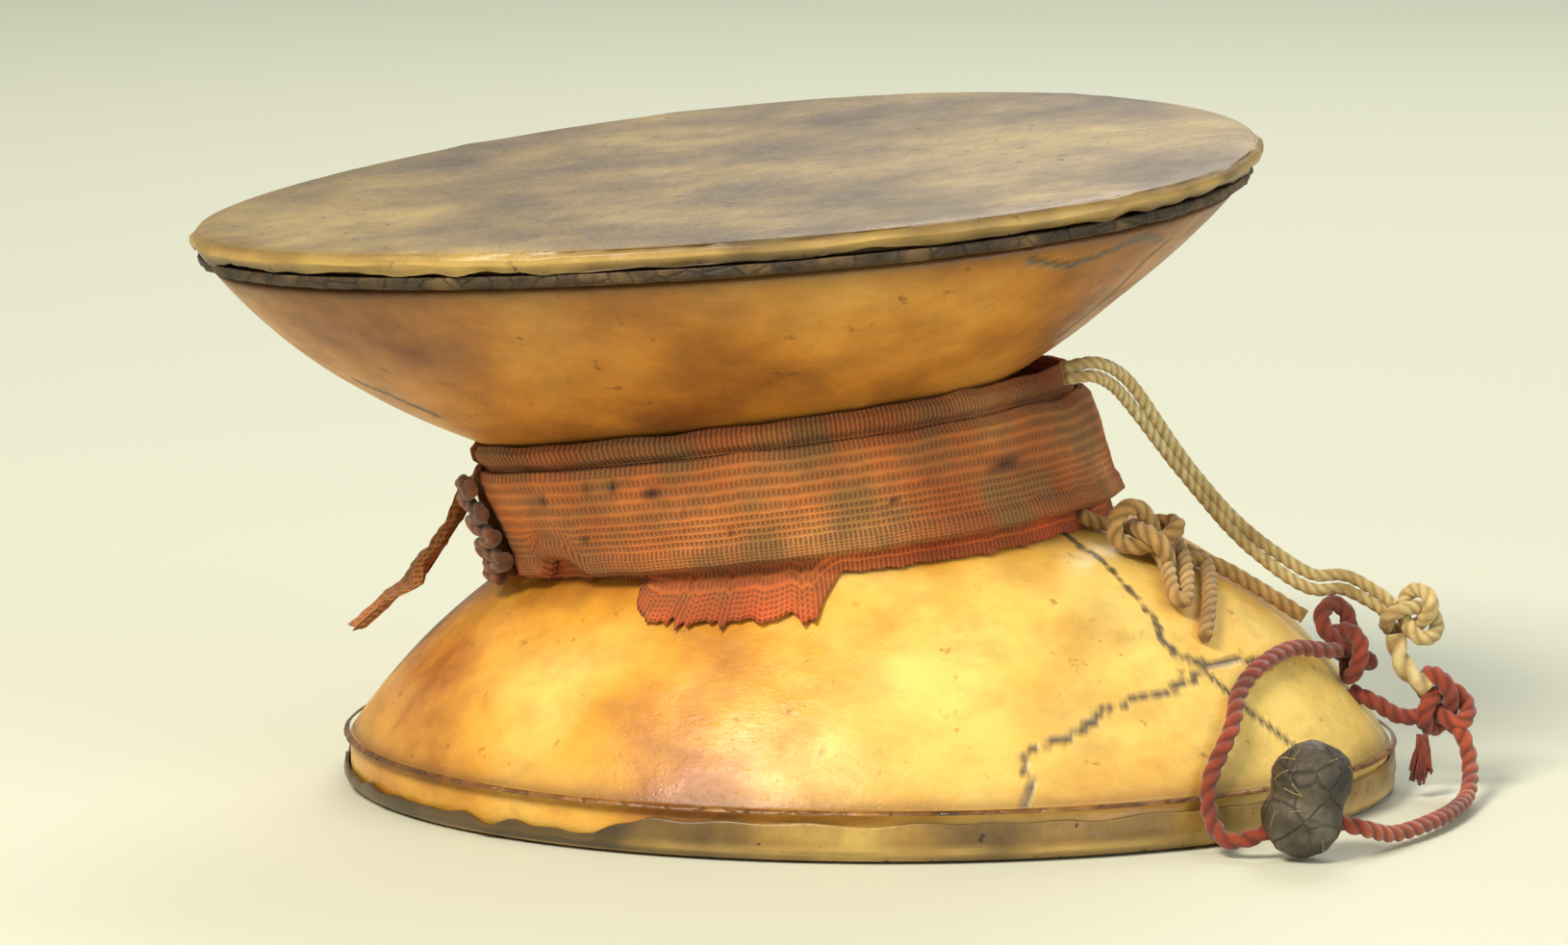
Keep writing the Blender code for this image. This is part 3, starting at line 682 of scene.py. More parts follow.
upperStops = [discStop(upperBowl, 0.0, 0.0), discStop(upperBowl, 0.6, 0.0)]
upperStops += mouthStops(
    upperBowl,
    (2.4 * mm, 0),
    (0.9 * mm, 0.2 * mm),
    (0.15 * mm, 0.9 * mm),
    (0, 1.7 * mm),
    (0.5 * mm, lambda t: lip - 0.5 * mm + lipWave(t)),
)
upperStops += [
    lambda t: neckPoint(t, lip + lipWave(t), bead),
    lambda t: neckPoint(t, lip + lipWave(t) * 0.3, gap),
    lambda t: neckPoint(t, skinDepth, gap),
    discStop(upperBowl, 0.0, skinDepth),
]
upperHead = buildHide(
    "upper_head", upperBowl, upperStops, upperHide, ("upper_skin",),
    lambda s: 1 if 3.2 < s < 6.8 else (0.3 if s < 3 else 0),
)
# marks on the hide: the height of the painted highlight along the rim's edge, and from what height it
# darkens, and how fast
hideWearAndHighlight = {
    "highlightAt": 1.5, "highlightWide": 0.8,
    "lower": {"darkFrom": 5.0, "slope": 0.5},
    "upper": {"darkFrom": 2.2, "slope": 0.35},
    "tornAbove": 0.6, "tornBefore": 6, "tornPast": 8, "tornFade": 10, "tornDark": 0.85,
}


def hideRimHighlight(spot, height):
    # painted highlight: a lighter band along the rolled edge of the rim
    edge = exp(-((height - hideWearAndHighlight["highlightAt"]) / hideWearAndHighlight["highlightWide"]) ** 2)
    return min(max(edge * (0.55 + 0.5 * rough(spot, 6, 3)), 0), 1)


def tornGrime(spot, height):
    # what is left of the lower hide where it is torn has gone dark
    turn = degrees(atan2(spot.y, spot.x - drumSizes["lowerCentre"][0] * mm)) % 360
    if height <= hideWearAndHighlight["tornAbove"] or turn <= drumSizes["tornFrom"] - hideWearAndHighlight["tornBefore"]:
        return 0
    fade = (drumSizes["tornTo"] + hideWearAndHighlight["tornPast"] - turn) / hideWearAndHighlight["tornFade"]
    return hideWearAndHighlight["tornDark"] * min(1, fade + 0.5 * rough(spot, 5, 61))


def hideGrime(key, spot, height):
    patch = max(0, rough(spot, 20, 13) - 0.25) * 0.9
    edge = (height - hideWearAndHighlight[key]["darkFrom"]) * hideWearAndHighlight[key]["slope"]
    torn = tornGrime(spot, height) if key == "lower" else 0
    return min(1, max(patch, edge, torn))


for key, bowl, head in (("lower", lowerBowl, lowerHead), ("upper", upperBowl, upperHead)):
    toHead = bowl["frame"].inverted()
    found = [Vector(spot) for spot in places(head).tolist()]
    heights = [(toHead @ spot).z / mm for spot in found]
    paint(head, "rimHighlight", [hideRimHighlight(spot, height) for spot, height in zip(found, heights)])
    paint(head, "dirtAndHoleShade", [hideGrime(key, spot, height) for spot, height in zip(found, heights)])


# Pitch under each lip
pitchMesh = {
    "around": 420, "perStop": 3,
    # shares of the height and of the thickness
    "profile": ((0.0, 0.0), (0.0, 1.0), (0.35, 1.0), (0.7, 0.9), (1.0, 0.4), (1.0, 0.0)),
}


def between(stops, spot):
    # the values at a place on a closed list of tuples; 1.5 is half way from the second to the third
    i = int(spot)
    pairs = zip(stops[i % len(stops)], stops[(i + 1) % len(stops)])
    return [a + (b - a) * (spot - i) for a, b in pairs]


def buildPitch(name, bowl, ring, bottom, top, thickness, replaced, material):
    rows = pitchMesh["perStop"] * len(pitchMesh["profile"])

    def place(u, v):
        t = 2 * pi * u
        up, out = between(pitchMesh["profile"], round(v * rows) % rows / pitchMesh["perStop"])
        point = ring(t, bottom + (top - bottom) * up, gap + thickness * out)
        if out > 0.3:
            world = bowl["frame"] @ point
            wave = 0.5 * rough(world, 3.5, 8) + 0.25 * rough(world, 1.2, 4)
            point += Vector((point.x, point.y, 0)).normalized() * wave * thickness * 0.7
        return bowl["frame"] @ point

    mesh = bmesh.new()
    wrapGrid(mesh, pitchMesh["around"], rows, place)
    return finishPiece(name, mesh, material, "drum", replaced)


beadFoot = bandTop + gap
buildPitch(
    "upper_pitch_band",
    upperBowl,
    neckPoint,
    bottom=lip + gap * 1.5,
    top=neckTop - gap,
    thickness=drumSizes["pitchThickness"] * mm,
    replaced=("upper_pitch_seal",),
    material=pitch,
)
buildPitch(
    "lower_pitch_bead",
    lowerBowl,
    lambda t, height, out: domeAt(lowerBowl, t, height, out),
    bottom=beadFoot,
    top=beadFoot + 0.5 * mm,
    thickness=0.25 * mm,
    replaced=("lower_pitch_seal",),
    material=resin,
)
for name, material in (("waist_peg", woodGrain), ("waist_resin", resin)):
    nodes[name].data.materials.clear()
    nodes[name].data.materials.append(material)
print("heads and pitch made")


# Belt of cloth round the waist
belt = {
    "height": 45.0, "roll": -7.4, "pitch": -2.9, "cloth": 0.9, "low": -9.0, "high": 6.2,
    "foldHigh": 10.0, "foldLow": 3.5, "innerLow": -9.6, "peek": 2.6, "peekAt": -50,
    "leanIn": 4.0, "seamAt": 196, "seamHalf": 3.5, "layerGap": 0.4, "lacing": 2.2,
    "frayFrom": -128, "frayTo": -88, "frayDrop": 5.0, "notch": 2.6, "notchFrom": -152, "notchTo": -143,
    "folded": 1.8,  # the over cloth's thickness in cloths
    "round": 320, "girth": 34,
}
beltFrame = (
    Matrix.Translation((waist.x, waist.y, belt["height"] * mm))
    @ Euler((radians(belt["pitch"]), radians(belt["roll"]), 0)).to_matrix().to_4x4()
)
reachTable = {}
farOut = 0.3  # metres, well outside the drum


def bowlReach(turn, height):
    # how far the bowls reach from the belt's axis
    key = (round(turn, 3), round(height / mm, 1))
    if key not in reachTable:
        side = beltFrame.to_3x3() @ Vector((cos(turn), sin(turn), 0))
        start = beltFrame @ Vector((0, 0, height))
        found = 0.0
        for tree in (lowerTree, upperTree):
            hit = tree.ray_cast(start + side * farOut, -side)[0]
            if hit is not None:
                found = max(found, (hit - start).dot(side))
        reachTable[key] = found
    return reachTable[key]


def swell(turn, first, last, edge=6):
    # 1 between two angles in degrees, easing to 0 at their ends
    here = (degrees(turn) + 180) % 360 - 180
    share = min(here - first, last - here) / edge
    return min(max(share + 0.5, 0), 1)


def clothFoot(turn):
    # the inner cloth's lower edge, which peeks out at the front right
    return belt["innerLow"] - belt["peek"] * max(0, cos(turn - radians(belt["peekAt"])))


def innerLow(turn):
    # the same edge, ragged, with the part that has come down
    fray = belt["frayDrop"] * swell(turn, belt["frayFrom"], belt["frayTo"])
    ragged = noise.noise(Vector((turn * 14, 2, 0))) + 0.6 * noise.noise(Vector((turn * 45, 3, 0)))
    return (clothFoot(turn) - fray * (1 + 0.35 * ragged) - 0.5 * ragged) * mm


def clothPoint(turn, height, out):
    # taut between the bowls, and never inside the bone
    foot = clothFoot(turn) * mm
    top = belt["foldHigh"] * mm
    low = bowlReach(turn, foot)
    high = max(bowlReach(turn, top), low - belt["leanIn"] * mm)
    if height < foot:
        reach = max(bowlReach(turn, height), low)
    else:
        reach = low + (high - low) * (height - foot) / (top - foot)
    reach += out
    return beltFrame @ Vector((reach * cos(turn), reach * sin(turn), height))


clothSkin = belt["cloth"] * mm
innerFace = gap
innerBack = innerFace + clothSkin
outerFace = innerBack + belt["layerGap"] * mm
outerBack = outerFace + belt["folded"] * clothSkin
beltStart = radians(belt["seamAt"] + belt["seamHalf"])
beltSweep = 2 * pi - radians(2 * belt["seamHalf"])


def clothRelief(turn, height, seed, depth):
    # creases that run a little aslant, and puckers
    slant = Vector((turn * 4 + height / mm * 0.1, height / mm * 0.2, seed))
    creases = noise.noise(slant) + 0.5 * noise.noise(slant * 2.7)
    return creases * depth * mm


def pathLength(path):
    return sum((b - a).length for a, b in zip(path, path[1:]))


def closeEnds(mesh):
    bmesh.ops.remove_doubles(mesh, verts=mesh.verts, dist=2e-6)
    bmesh.ops.holes_fill(mesh, edges=[edge for edge in mesh.edges if edge.is_boundary])


beltLine = [clothPoint(beltStart + beltSweep * i / 72, 0, outerFace) for i in range(73)]
beltLength = pathLength(beltLine)


def buildCloth(name, profile, material, replaced, relief, seed, creased, perStop=4):
    # a closed strip of cloth round the belt; profile gives (height, out) at an angle
    rows = len(profile(0)) * perStop

    def place(u, v):
        turn = beltStart + beltSweep * u
        height, out = between(profile(turn), round(v * rows) % rows / perStop)
        if out > creased:
            out += max(clothRelief(turn, height, seed, relief), -0.25 * relief * mm)
        return clothPoint(turn, height, out)

    mesh = bmesh.new()
    wrapGrid(mesh, belt["round"], rows, place, (beltLength, belt["girth"] * mm))
    closeEnds(mesh)
    return finishPiece(name, mesh, material, "drum", replaced)


foldLow = belt["foldLow"] * mm


def outerProfile(turn):
    # a rolled hem at the foot, a flat face, and an edge turned in at the top
    low = (belt["low"] + 0.35 * noise.noise(Vector((turn * 7, 9, 0)))) * mm
    low += belt["notch"] * swell(turn, belt["notchFrom"], belt["notchTo"], 3) * mm
    high = (belt["high"] + 0.5 * noise.noise(Vector((turn * 5, 12, 0)))) * mm
    return [
        (low, outerFace),
        (low - 0.3 * mm, outerFace + clothSkin),
        (low + 0.4 * mm, outerBack + 0.5 * mm),
        (low + 2.2 * mm, outerBack + 0.4 * mm),
        (low + 3.0 * mm, outerBack),
        (-2 * mm, outerBack),
        (high - 1.2 * mm, outerBack),
        (high, outerFace + clothSkin),
        (high, outerFace),
        (foldLow, outerFace),
        (-3 * mm, outerFace),
    ]


def innerProfile(turn):
    low = innerLow(turn)
    heights = (low, low * 0.5 - 4.5 * mm, -4 * mm, foldLow - gap)
    down = [(height, innerFace) for height in reversed(heights)]
    return down[-1:] + [(height, innerBack) for height in heights] + down[:-1]


def foldProfile(turn):
    top = (belt["foldHigh"] + 0.5 * noise.noise(Vector((turn * 6, 20, 0)))) * mm
    high = belt["high"] * mm
    return [
        (foldLow, innerFace),
        (foldLow, innerBack),
        (high + 0.5 * mm, innerBack),
        (high + 1.4 * mm, innerBack + clothSkin),
        (top - clothSkin, innerBack + clothSkin),
        (top, innerBack),
        (top, innerFace),
    ]


pastInner = innerBack + 0.2 * clothSkin
outerCloth = buildCloth(
    "belt_over_cloth", outerProfile, fadedCloth, ("belt_outer",), relief=0.3, seed=1, creased=pastInner,
    perStop=5,
)
innerCloth = buildCloth(
    "belt_under_cloth", innerProfile, brightCloth, ("belt_inner",), relief=0.25, seed=5,
    creased=innerFace + 0.5 * clothSkin,
)
foldCloth = buildCloth(
    "belt_top_fold", foldProfile, fadedCloth, ("belt_upper_fold",), relief=0.5, seed=9, creased=pastInner
)

# worn holes and the slit, drawn as painted shade over the picture, with their half sizes in millimetres
beltHoles = [
    (608, 505, 0.9, 0.6), (637, 507, 0.7, 0.6), (675, 511, 1.5, 0.6), (620, 533, 0.6, 0.6),
    (712, 535, 0.6, 0.5), (564, 523, 0.6, 0.7), (608, 562, 0.6, 0.5), (1048, 484, 2.9, 0.6),
    (760, 552, 0.5, 0.4), (930, 520, 0.5, 0.4),
]
outerTree = treeOf(outerCloth)
spots = places(outerCloth)
holeShade = np.zeros(len(spots))
for x, y, wide, high in beltHoles:
    middle = seenPoint(outerTree, x, y)
    if middle is None:
        continue
    away = spots - np.array(middle)
    level = (away[:, 0] ** 2 + away[:, 1] ** 2) / (wide * mm) ** 2
    upright = away[:, 2] ** 2 / (high * mm) ** 2
    holeShade = np.maximum(holeShade, np.clip(1.5 - np.sqrt(level + upright), 0, 1))
# painted shade in the holes and the slit
paint(outerCloth, "dirtAndHoleShade", holeShade)
print("belt made")


# Cords
cordSides = 18


def smoothRoute(points, step=0.35):
    # a smooth curve through points in millimetres, given back in metres
    route = [Vector(point) for point in points]
    ends = [2 * route[0] - route[1]] + route + [2 * route[-1] - route[-2]]
    found = []
    for a, b, c, d in zip(ends, ends[1:], ends[2:], ends[3:]):
        count = max(2, ceil((c - b).length / step))
        for i in range(count):
            u = i / count
            curve = 2 * b + (c - a) * u + (2 * a - 5 * b + 4 * c - d) * u ** 2
            curve += (3 * b - 3 * c + d - a) * u ** 3
            found.append(curve * 0.5 * mm)
    return found + [route[-1] * mm]


def pathFrames(path, closed):
    # (point, side, up, share of the length) at each point, carried along without a twist
    line = [path[-2], *path, path[1]] if closed else [path[0], *path, path[-1]]
    side = (line[2] - line[0]).orthogonal()
    total = pathLength(path)
    run = 0.0
    frames = []
    for before, point, after in zip(line, line[1:], line[2:]):
        way = (after - before).normalized()
        side = (side - side.dot(way) * way).normalized()
        if frames:
            run += (point - before).length
        frames.append((point, side, way.cross(side), run / total))
    return frames


def addTube(mesh, path, radius, closed, seed, plies, lay, depth):
    # a cord whose plies show as grooves; lay is the length of one full twist
    frames = pathFrames(path, closed)
    rings = [(*frame, radius) for frame in frames]
    turns = pathLength(path) / lay
    slack = 0.0
    if closed:
        # whole twists, and the turn left over between the end frames is spread along the path
        turns = max(1, round(turns))
        _, firstSide, firstUp, _ = frames[0]
        lastSide = frames[-1][1]
        slack = atan2(lastSide.dot(firstUp), lastSide.dot(firstSide))
    else:
        # rings of no size shut the ends
        rings = [(*frames[0], 0.0), *rings, (*frames[-1], 0.0)]

    def place(u, v):
        point, side, up, share, reach = rings[round(v * (len(rings) - 1))]
        turn = 2 * pi * u - slack * share
        dip = (0.5 - 0.5 * cos(plies * 2 * pi * (u - turns * share))) ** 2
        reach *= 1 - depth * dip + 0.05 * noise.noise(point * 900 + Vector((seed, u * 3, 0)))
        return point + side * cos(turn) * reach + up * sin(turn) * reach

    tube = bmesh.new()
    wrapGrid(tube, cordSides, len(rings) - 1, place)
    bmesh.ops.remove_doubles(tube, verts=tube.verts, dist=2e-6)
    bmesh.ops.recalc_face_normals(tube, faces=tube.faces)
    data = bpy.data.meshes.new("tube")
    tube.to_mesh(data)
    tube.free()
    mesh.from_mesh(data)
    bpy.data.meshes.remove(data)


def awayFrom(path, spots, batch=4000):
    # how far each spot is from the nearest point of a path
    line = np.array([tuple(point) for point in path])
    parts = [spots[k:k + batch] for k in range(0, len(spots), batch)]
    return np.concatenate([np.linalg.norm(part[:, None] - line[None], axis=2).min(1) for part in parts])


def buildCord(name, tubes, material, body, replaced=(), plies=3, lay=None, depth=0.16):
    # tubes: (path, radius in millimetres, closed)
    mesh = bmesh.new()
    for i, (path, radius, closed) in enumerate(tubes):
        addTube(mesh, path, radius * mm, closed, i * 5, plies, (lay or radius * 7) * mm, depth)
    made = finishPiece(name, mesh, material, body, replaced, weld=1e-8)
    # painted shade in the grooves, darker by how far each point lies below the full radius
    spots = places(made)
    past = np.full(len(spots), 9.0)
    limit = np.full(len(spots), 1e-6)
    for path, radius, _ in tubes:
        over = awayFrom(path, spots) - radius * mm
        limit = np.where(over < past, radius * depth * mm, limit)
        past = np.minimum(past, over)
    paint(made, "groove", np.clip(-past / limit, 0, 1))
    return made


def trefoil(centre, along, facing, size, stretch, thickness, steps=110):
    # an overhand knot's line, as in the model
    along = Vector(along).normalized()
    facing = (Vector(facing) - Vector(facing).dot(along) * along).normalized()
    across = facing.cross(along)
    points = []
    for i in range(steps + 1):
        t = 2 * pi * i / steps
        right = size / 6 * (sin(t) + 2 * sin(2 * t))
        up = size / 6 * stretch * (cos(t) - 2 * cos(2 * t))
        out = -0.75 * thickness * sin(3 * t)
        points.append((Vector(centre) + across * right + along * up + facing * out) * mm)
    return points


def laid(point, lift):
    # a point in millimetres, moved to lie this far off the lower bowl
    spot, normal, _, _ = lowerTree.find_nearest(Vector(point) * mm)
    if normal.dot(spot - waist + Vector((0, 0, 0.02))) < 0:
        normal = -normal
    return tuple((spot + normal * lift * mm) / mm)


def overBone(lift, *seen):
    # a curve over the lower bowl, through where the picture shows it
    return smoothRoute([laid(seenPoint(lowerTree, x, y) / mm, lift) for x, y in seen])


# diameters in millimetres; a twist is the plies, the lay in millimetres and the grooves' depth
cordSizes = {
    "upper": 3.2, "strand": 1.8, "lower": 2.2, "wool": 2.4, "offBone": 0.3,
    "creamTwist": {"lay": 5},
    "beigeTwist": {"lay": 6},
    "knotTwist": {"lay": 6, "depth": 0.22},
    "dropTwist": {"plies": 2, "lay": 8, "depth": 0.3},
    "loopTwist": {"plies": 2, "lay": 5.5, "depth": 0.26},
    "lacingTwist": {"plies": 2, "lay": 6, "depth": 0.28},
}
upperPath = smoothRoute([
    (36.6, -27.4, 61.2), (40.8, -24.8, 61.4), (44.2, -20.0, 59.2), (47.2, -16.5, 55.4), (53.4, -13.6, 46.6),
    (60.8, -12.4, 37.8), (67.2, -12.0, 32.4), (72.0, -11.6, 29.6), (76.4, -10.8, 29.4),
    (80.6, -11.4, 27.4), (83.0, -11.8, 25.6),
])


def strandOf(path, apart):
    # a strand beside the path, a little nearer and further in turns
    strand = []
    for i, point in enumerate(path):
        way = path[min(i + 1, len(path) - 1)] - path[max(i - 1, 0)]
        side = way.cross(Vector((0, -1, 0.2))).normalized()
        strand.append(point + side * apart * mm * (1 + 0.25 * sin(i * 0.05)))
    return strand


strandGap = cordSizes["upper"] / 4
upperCordPiece = buildCord(
    "cream_doubled_cord",
    [(strandOf(upperPath, apart), cordSizes["strand"] / 2, False) for apart in (-strandGap, strandGap)],
    creamYarn, "line", ("upper_cord",), **cordSizes["creamTwist"],
)

lowerLift = cordSizes["lower"] / 2 + cordSizes["offBone"]
lowerPath = smoothRoute([
    laid((38.4, -21.2, 38.6), lowerLift + 0.8), laid((41.6, -19.6, 38.4), lowerLift),
    laid((46.4, -17.4, 37.2), lowerLift), laid((50.0, -18.8, 35.2), lowerLift),
    laid((53.0, -19.5, 33.6), lowerLift), laid((57.6, -15.4, 31.6), lowerLift),
    laid((62.6, -13.2, 28.6), lowerLift), laid((66.6, -12.6, 26.0), lowerLift + 0.4),
    laid((69.4, -12.8, 23.4), lowerLift + 1.0),
])
lowerCordPiece = buildCord(
    "beige_cord", [(lowerPath, cordSizes["lower"] / 2, False)],
    beigeYarn, "line", ("lower_cord",), **cordSizes["beigeTwist"],
)

# the knots, with the loop and the end that hang from the beige one
loopAt = laid((47.4, -22.8, 35.6), 3.6)
hangingLoop = overBone(
    1.9, (1196, 566), (1214, 572), (1226, 600), (1226, 634), (1214, 628), (1206, 596), (1190, 574)
)
hangingEnd = overBone(1.4, (1226, 580), (1248, 594), (1252, 630), (1247, 668))
loopKnot = buildCord(
    "beige_overhand_knot",
    [
        (trefoil(loopAt, (1, 0.4, -0.5), (0.4, -0.5, 0.8), 9.0, 1.2, 2.6), 1.25, True),
        (hangingLoop, cordSizes["lower"] / 2, False),
        (hangingEnd, cordSizes["lower"] / 2, False),
    ],
    beigeYarn, "line", ("loop_knot",), **cordSizes["knotTwist"],
)
redKnotAt = laid((74.2, -12.6, 18.8), 4.0)
redKnotUpper = buildCord(
    "red_upper_knot",
    [(trefoil(redKnotAt, (0.5, 0, -1), (1, 0, 0.5), 7.0, 1.7, 2.4), 1.25, True)],
    redWool, "line", ("red_knot_upper",), **cordSizes["knotTwist"],
)
creamKnot = buildCord(
    "cream_end_knot",
    [(trefoil((86.2, -12.0, 24.8), (1, 0, 0.3), (0, -1, 0), 7.4, 1.1, 2.2), 1.1, True)],
    creamYarn, "line", ("cream_knot",), **cordSizes["creamTwist"],
)
redKnotLower = buildCord(
    "red_lower_knot",
    [(trefoil((90.2, -12.0, 12.4), (0.4, 0, -1), (0, -1, 0), 7.0, 1.3, 2.4), 1.25, True)],
    redWool, "line", ("red_knot_lower",), **cordSizes["knotTwist"],
)
dropPath = smoothRoute(
    [(83.6, -12.4, 22.4), (84.0, -12.6, 19.6), (85.4, -12.8, 17.0), (88.2, -12.6, 14.6)], step=0.3
)
creamDrop = buildCord(
    "cream_drop", [(dropPath, 1.5, False)],
    creamYarn, "line", ("cream_drop_cord",), **cordSizes["dropTwist"],
)
linkPath = smoothRoute(
    [(77.2, -13.2, 14.4), (80.6, -14.0, 13.0), (84.0, -13.6, 11.0), (88.0, -12.8, 10.6)], step=0.3
)
redLink = buildCord(
    "red_short_link", [(linkPath, cordSizes["wool"] / 2, False)],
    redWool, "line", ("red_link",), **cordSizes["knotTwist"],
)

# the tuft's threads, from the knot down and outwards
tuftShape = {"threads": 26, "seed": 21, "top": (87.2, -15.6, 8.6), "foot": (87.0, -16.8), "spread": 1.6}
random.seed(tuftShape["seed"])
topX, topY, topZ = tuftShape["top"]
tuft = []
for i in range(tuftShape["threads"]):
    spread = Vector((random.uniform(-1, 1), random.uniform(-0.5, 0.5), 0)) * tuftShape["spread"]
    top = Vector((topX + random.uniform(-0.7, 0.7), topY + random.uniform(-0.4, 0.4), topZ))
    low = Vector((*tuftShape["foot"], random.uniform(1.6, 4.2))) + spread
    middle = top.lerp(low, 0.5) + Vector((random.uniform(-0.5, 0.5), -0.4, 0))
    tuft.append((smoothRoute([top, middle, low], 0.6), random.uniform(0.16, 0.3), False))
redTuft = buildCord("red_frayed_tuft", tuft, redWool, "line", ("red_tuft",), depth=0.1)

woolLift = cordSizes["wool"] / 2 + cordSizes["offBone"]
leftPath = smoothRoute([
    laid((74.6, -14.2, 19.4), woolLift + 1.6), laid((72.6, -17.8, 20.0), woolLift + 0.8),
    laid((67.4, -25.0, 21.4), woolLift), laid((62.4, -34.4, 20.4), woolLift),
    laid((59.4, -41.0, 18.0), woolLift), laid((57.4, -46.6, 13.6), woolLift + 1.2),
    (55.8, -54.8, 9.4), (55.8, -58.4, 4.8), (57.6, -61.4, 2.4), (61.0, -62.4, 2.8), (64.4, -62.6, 4.4),
])
rightPath = smoothRoute([
    (91.2, -12.8, 10.2), (93.2, -14.6, 7.8), (93.8, -18.0, 4.6), (93.0, -25.0, 2.0), (90.4, -35.0, 1.6),
    (86.0, -45.4, 1.6), (80.6, -54.0, 1.8), (76.4, -59.6, 3.6), (72.8, -61.8, 4.8),
])
leftLoop, rightLoop = [
    buildCord(
        f"red_loop_{way}", [(path, cordSizes["wool"] / 2, False)],
        redWool, "striker", (f"striker_loop_{way}",), **cordSizes["loopTwist"],
    )
    for way, path in (("left", leftPath), ("right", rightPath))
]

# Lacing: it goes from side to side down the seam
lacing = {"turns": 4, "steps": 180, "pastSeam": 1.3}
lacingOut = outerBack + 0.5 * mm + belt["lacing"] / 2 * mm + gap
lacingPath = []
for i in range(lacing["steps"] + 1):
    share = i / lacing["steps"]
    aside = lacing["pastSeam"] * radians(belt["seamHalf"]) * sin(2 * pi * lacing["turns"] * share)
    height = belt["high"] - 1 + (belt["low"] - belt["high"] + 1) * share
    lacingPath.append(clothPoint(radians(belt["seamAt"]) + aside, height * mm, lacingOut))
buildCord(
    "belt_twine_lacing", [(lacingPath, belt["lacing"] / 2, False)],
    brownYarn, "drum", ("belt_lacing",), **cordSizes["lacingTwist"],
)

# Tail of cloth, in millimetres and degrees from the seam; span, in metres, sets its weave
tailShape = {
    "aside": -22, "reach": 49, "lift": 0.6, "grid": (64, 60), "span": (0.018, 0.019),
    # height, distance out and width, from the top down
    "rows": ((4, 0.6, 6), (-2, 3.5, 9), (-7, 7.5, 12), (-11, 9.5, 13), (-15.0, 9.0, 11)),
    # half widths across and distances out, round the section
    "section": ((-1, 0), (-0.3, 0.8), (0.4, -0.4), (1, 0.5), (1, 2), (0.4, 1.1), (-0.3, 2.3), (-1, 1.5)),
}
tailTurn = radians(belt["seamAt"] + tailShape["aside"])


def tailPlace(u, v):
    low, out, wide = between(tailShape["rows"], v * (len(tailShape["rows"]) - 1))
    side, depth = between(tailShape["section"], u * len(tailShape["section"]))
    turn = tailTurn + side * wide / 2 / tailShape["reach"]
    crumple = 0.7 * noise.noise(Vector((u * 6, v * 7, 2))) + 0.3 * noise.noise(Vector((u * 20, v * 20, 5)))
    outward = tailShape["lift"] + out + depth + crumple
    return clothPoint(turn, (low + 0.6 * crumple) * mm, outerBack + outward * mm)


mesh = bmesh.new()
wrapGrid(mesh, *tailShape["grid"], tailPlace, tailShape["span"])
closeEnds(mesh)
tail = finishPiece("belt_loose_tail", mesh, fadedCloth, "drum", ("belt_tail",))

# Winding: the model's ring with its turns of cord drawn as ridges
winding = {"pitch": 1.1, "ridge": 0.25}
mesh = bmesh.new()
mesh.from_mesh(nodes["waist_cord_winding"].data)
bmesh.ops.remove_doubles(mesh, verts=mesh.verts, dist=1e-6)
bmesh.ops.subdivide_edges(mesh, edges=mesh.edges, cuts=2, use_grid_fill=True)
for vertex in mesh.verts:
    away = Vector((vertex.co.x - waist.x, vertex.co.y - waist.y, 0)).normalized()
    groove = 0.5 - 0.5 * cos(2 * pi * vertex.co.z / mm / winding["pitch"])
    vertex.co -= away * winding["ridge"] * mm * groove
finishPiece("waist_winding_turns", mesh, beigeYarn, "drum", ("waist_cord_winding",), weld=1e-7)
print("cords made")

# Striker of wax, with straws in it; sizes in millimetres, the lobes' distance and the waist in radii
striker = {
    "radius": 5.6, "at": (68.6, -62.4), "lean": 14, "gap": 0.3,
    "lobeGap": 0.85, "waist": 0.12, "lumps": 0.09, "straws": 24, "seed": 44, "grid": (140, 110),
}


def strikerPlace(u, v):
    radius = striker["radius"]
    half = radius * striker["lobeGap"] / 2
    along = (radius + half) * cos(pi * v)
    past = abs(along) - half
    reach = radius * (1 - striker["waist"] * (1 - min(abs(along) / half, 1)))
    if past > 0:
        reach *= max(1 - (past / radius) ** 2, 0) ** 0.5
    point = Vector((reach * cos(2 * pi * u), reach * sin(2 * pi * u), along))
    lump = 0.5 * noise.noise(point / 4) + 0.25 * noise.noise(point / 1.5) + 0.1 * noise.noise(point / 0.6)
    point *= 1 + striker["lumps"] * lump
    return Matrix.Rotation(radians(striker["lean"]), 3, "Y") @ point * mm


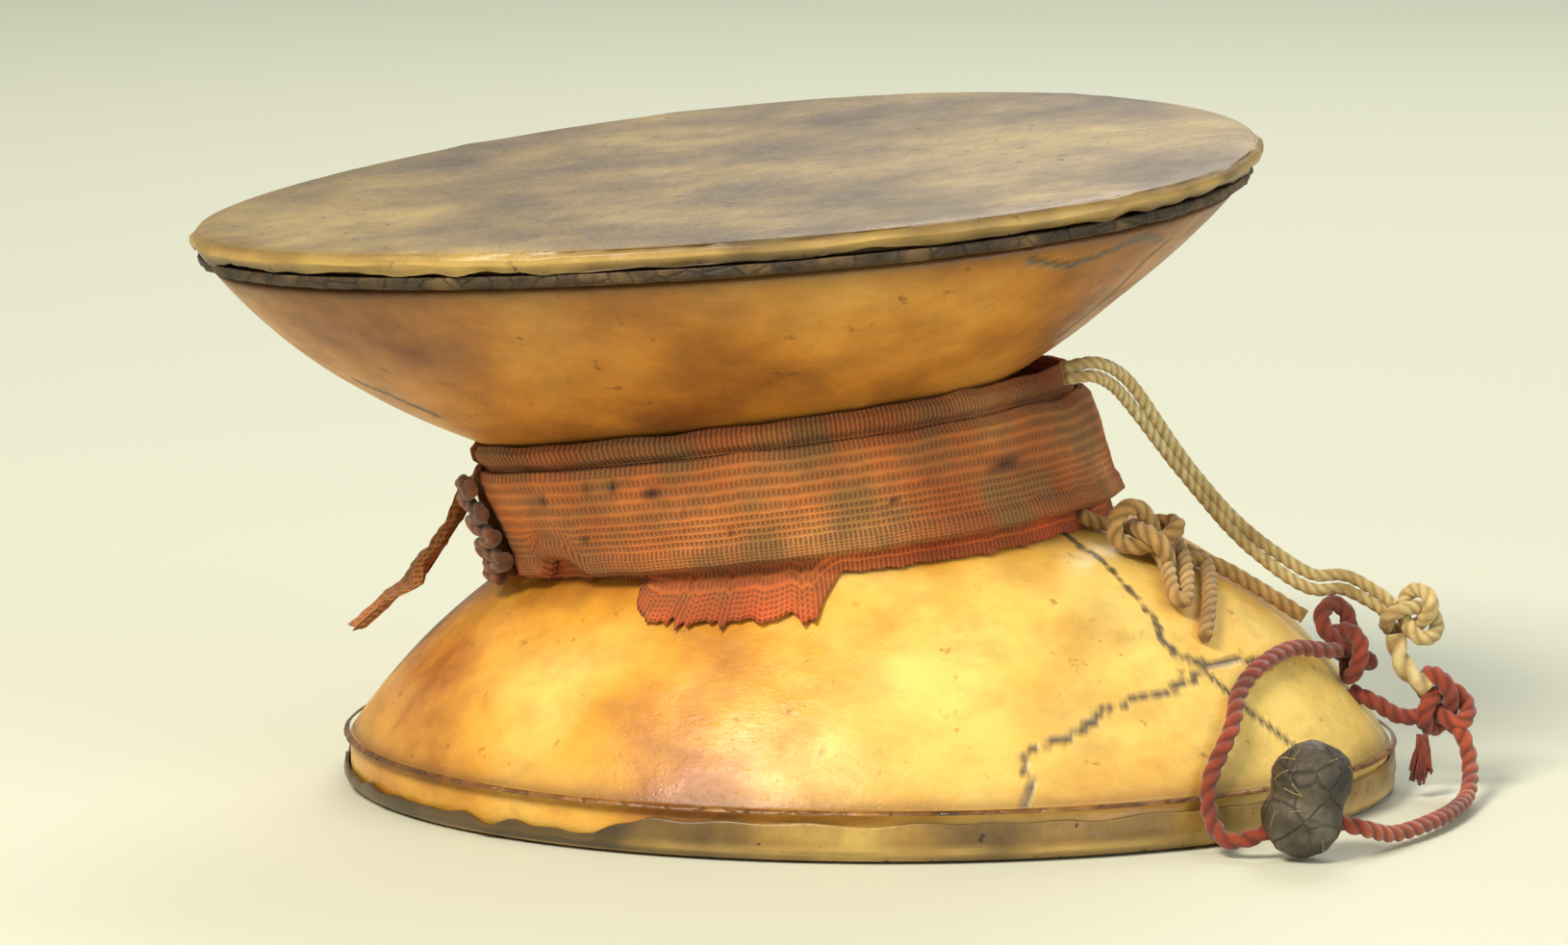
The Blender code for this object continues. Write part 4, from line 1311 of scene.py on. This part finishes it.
mesh = bmesh.new()
wrapGrid(mesh, *striker["grid"], strikerPlace)
lowest = min(vertex.co.z for vertex in mesh.verts)
lift = Vector((striker["at"][0] * mm, striker["at"][1] * mm, striker["gap"] * mm - lowest))
bmesh.ops.translate(mesh, verts=mesh.verts, vec=lift)
ball = finishPiece("wax_striker", mesh, wax, "striker", ("striker_ball",))
random.seed(striker["seed"])
ballTree = treeOf(ball)
fibres = []
for i in range(striker["straws"]):
    way = Vector((random.uniform(-1, 1), random.uniform(-1, 0.4), random.uniform(-1, 1))).normalized()
    start = ballTree.find_nearest((lift / mm + way * 9) * mm)[0] / mm
    run = Vector((random.uniform(-1, 1), random.uniform(-1, 1), random.uniform(-1, 1)))
    run = (run - run.dot(way) * way).normalized() * random.uniform(1.5, 3.5)
    line = []
    for share in (0, 0.5, 1):
        spot, normal, _, _ = ballTree.find_nearest((start + run * share) * mm)
        line.append(spot / mm + normal * 0.06)
    fibres.append((smoothRoute(line, 0.5), random.uniform(0.07, 0.13), False))
buildCord("straw_fibres", fibres, strawFibre, "striker", depth=0.05)

tuple(upperPath[0])
pathLength(upperPath)
[tuple(point) for point in upperPath]
tuple(lowerPath[0])
pathLength(lowerPath)
[tuple(point) for point in lowerPath]
tuple(leftPath[0])
pathLength(leftPath)
[tuple(point) for point in leftPath]
tuple(rightPath[0])
pathLength(rightPath)
[tuple(point) for point in rightPath]
print("striker made")

# Floor and light
mesh = bmesh.new()
bmesh.ops.create_grid(mesh, x_segments=1, y_segments=1, size=3.0)
data = bpy.data.meshes.new("floor")
mesh.to_mesh(data)
mesh.free()
floor = bpy.data.objects.new("floor", data)
floor.location.z = -0.0002
bpy.context.collection.objects.link(floor)
paper, _, paperShader, _ = startMaterial("paleFloor", 0.85)
paperShader.inputs["Base Color"].default_value = shade("d3d5c4")
data.materials.append(paper)
world = bpy.data.worlds.new("studio")
bpy.context.scene.world = world
world.use_nodes = True
worldTree = world.node_tree
backLight = worldTree.nodes["Background"]
backLight.inputs["Color"].default_value = shade("c9ccbd")
backLight.inputs["Strength"].default_value = 0.7


def addLamp(name, place, size, power, colour="ffffff"):
    light = bpy.data.lights.new(name, "AREA")
    light.size = size
    light.energy = power
    light.color = shade(colour)[:3]
    lamp = bpy.data.objects.new(name, light)
    lamp.location = place
    aim = Vector((0, 0, 0.045)) - Vector(place)
    lamp.rotation_euler = aim.to_track_quat("-Z", "Y").to_euler()
    bpy.context.collection.objects.link(lamp)


addLamp("softKey", (-0.5, -0.8, 1.0), 0.4, 19, "fff3e0")
addLamp("softFill", (0.9, -0.8, 0.5), 0.8, 5, "f2f6ff")
addLamp("softBack", (0.2, 0.9, 0.9), 0.6, 6)
bpy.context.scene.view_settings.view_transform = "Standard"
print("light made")
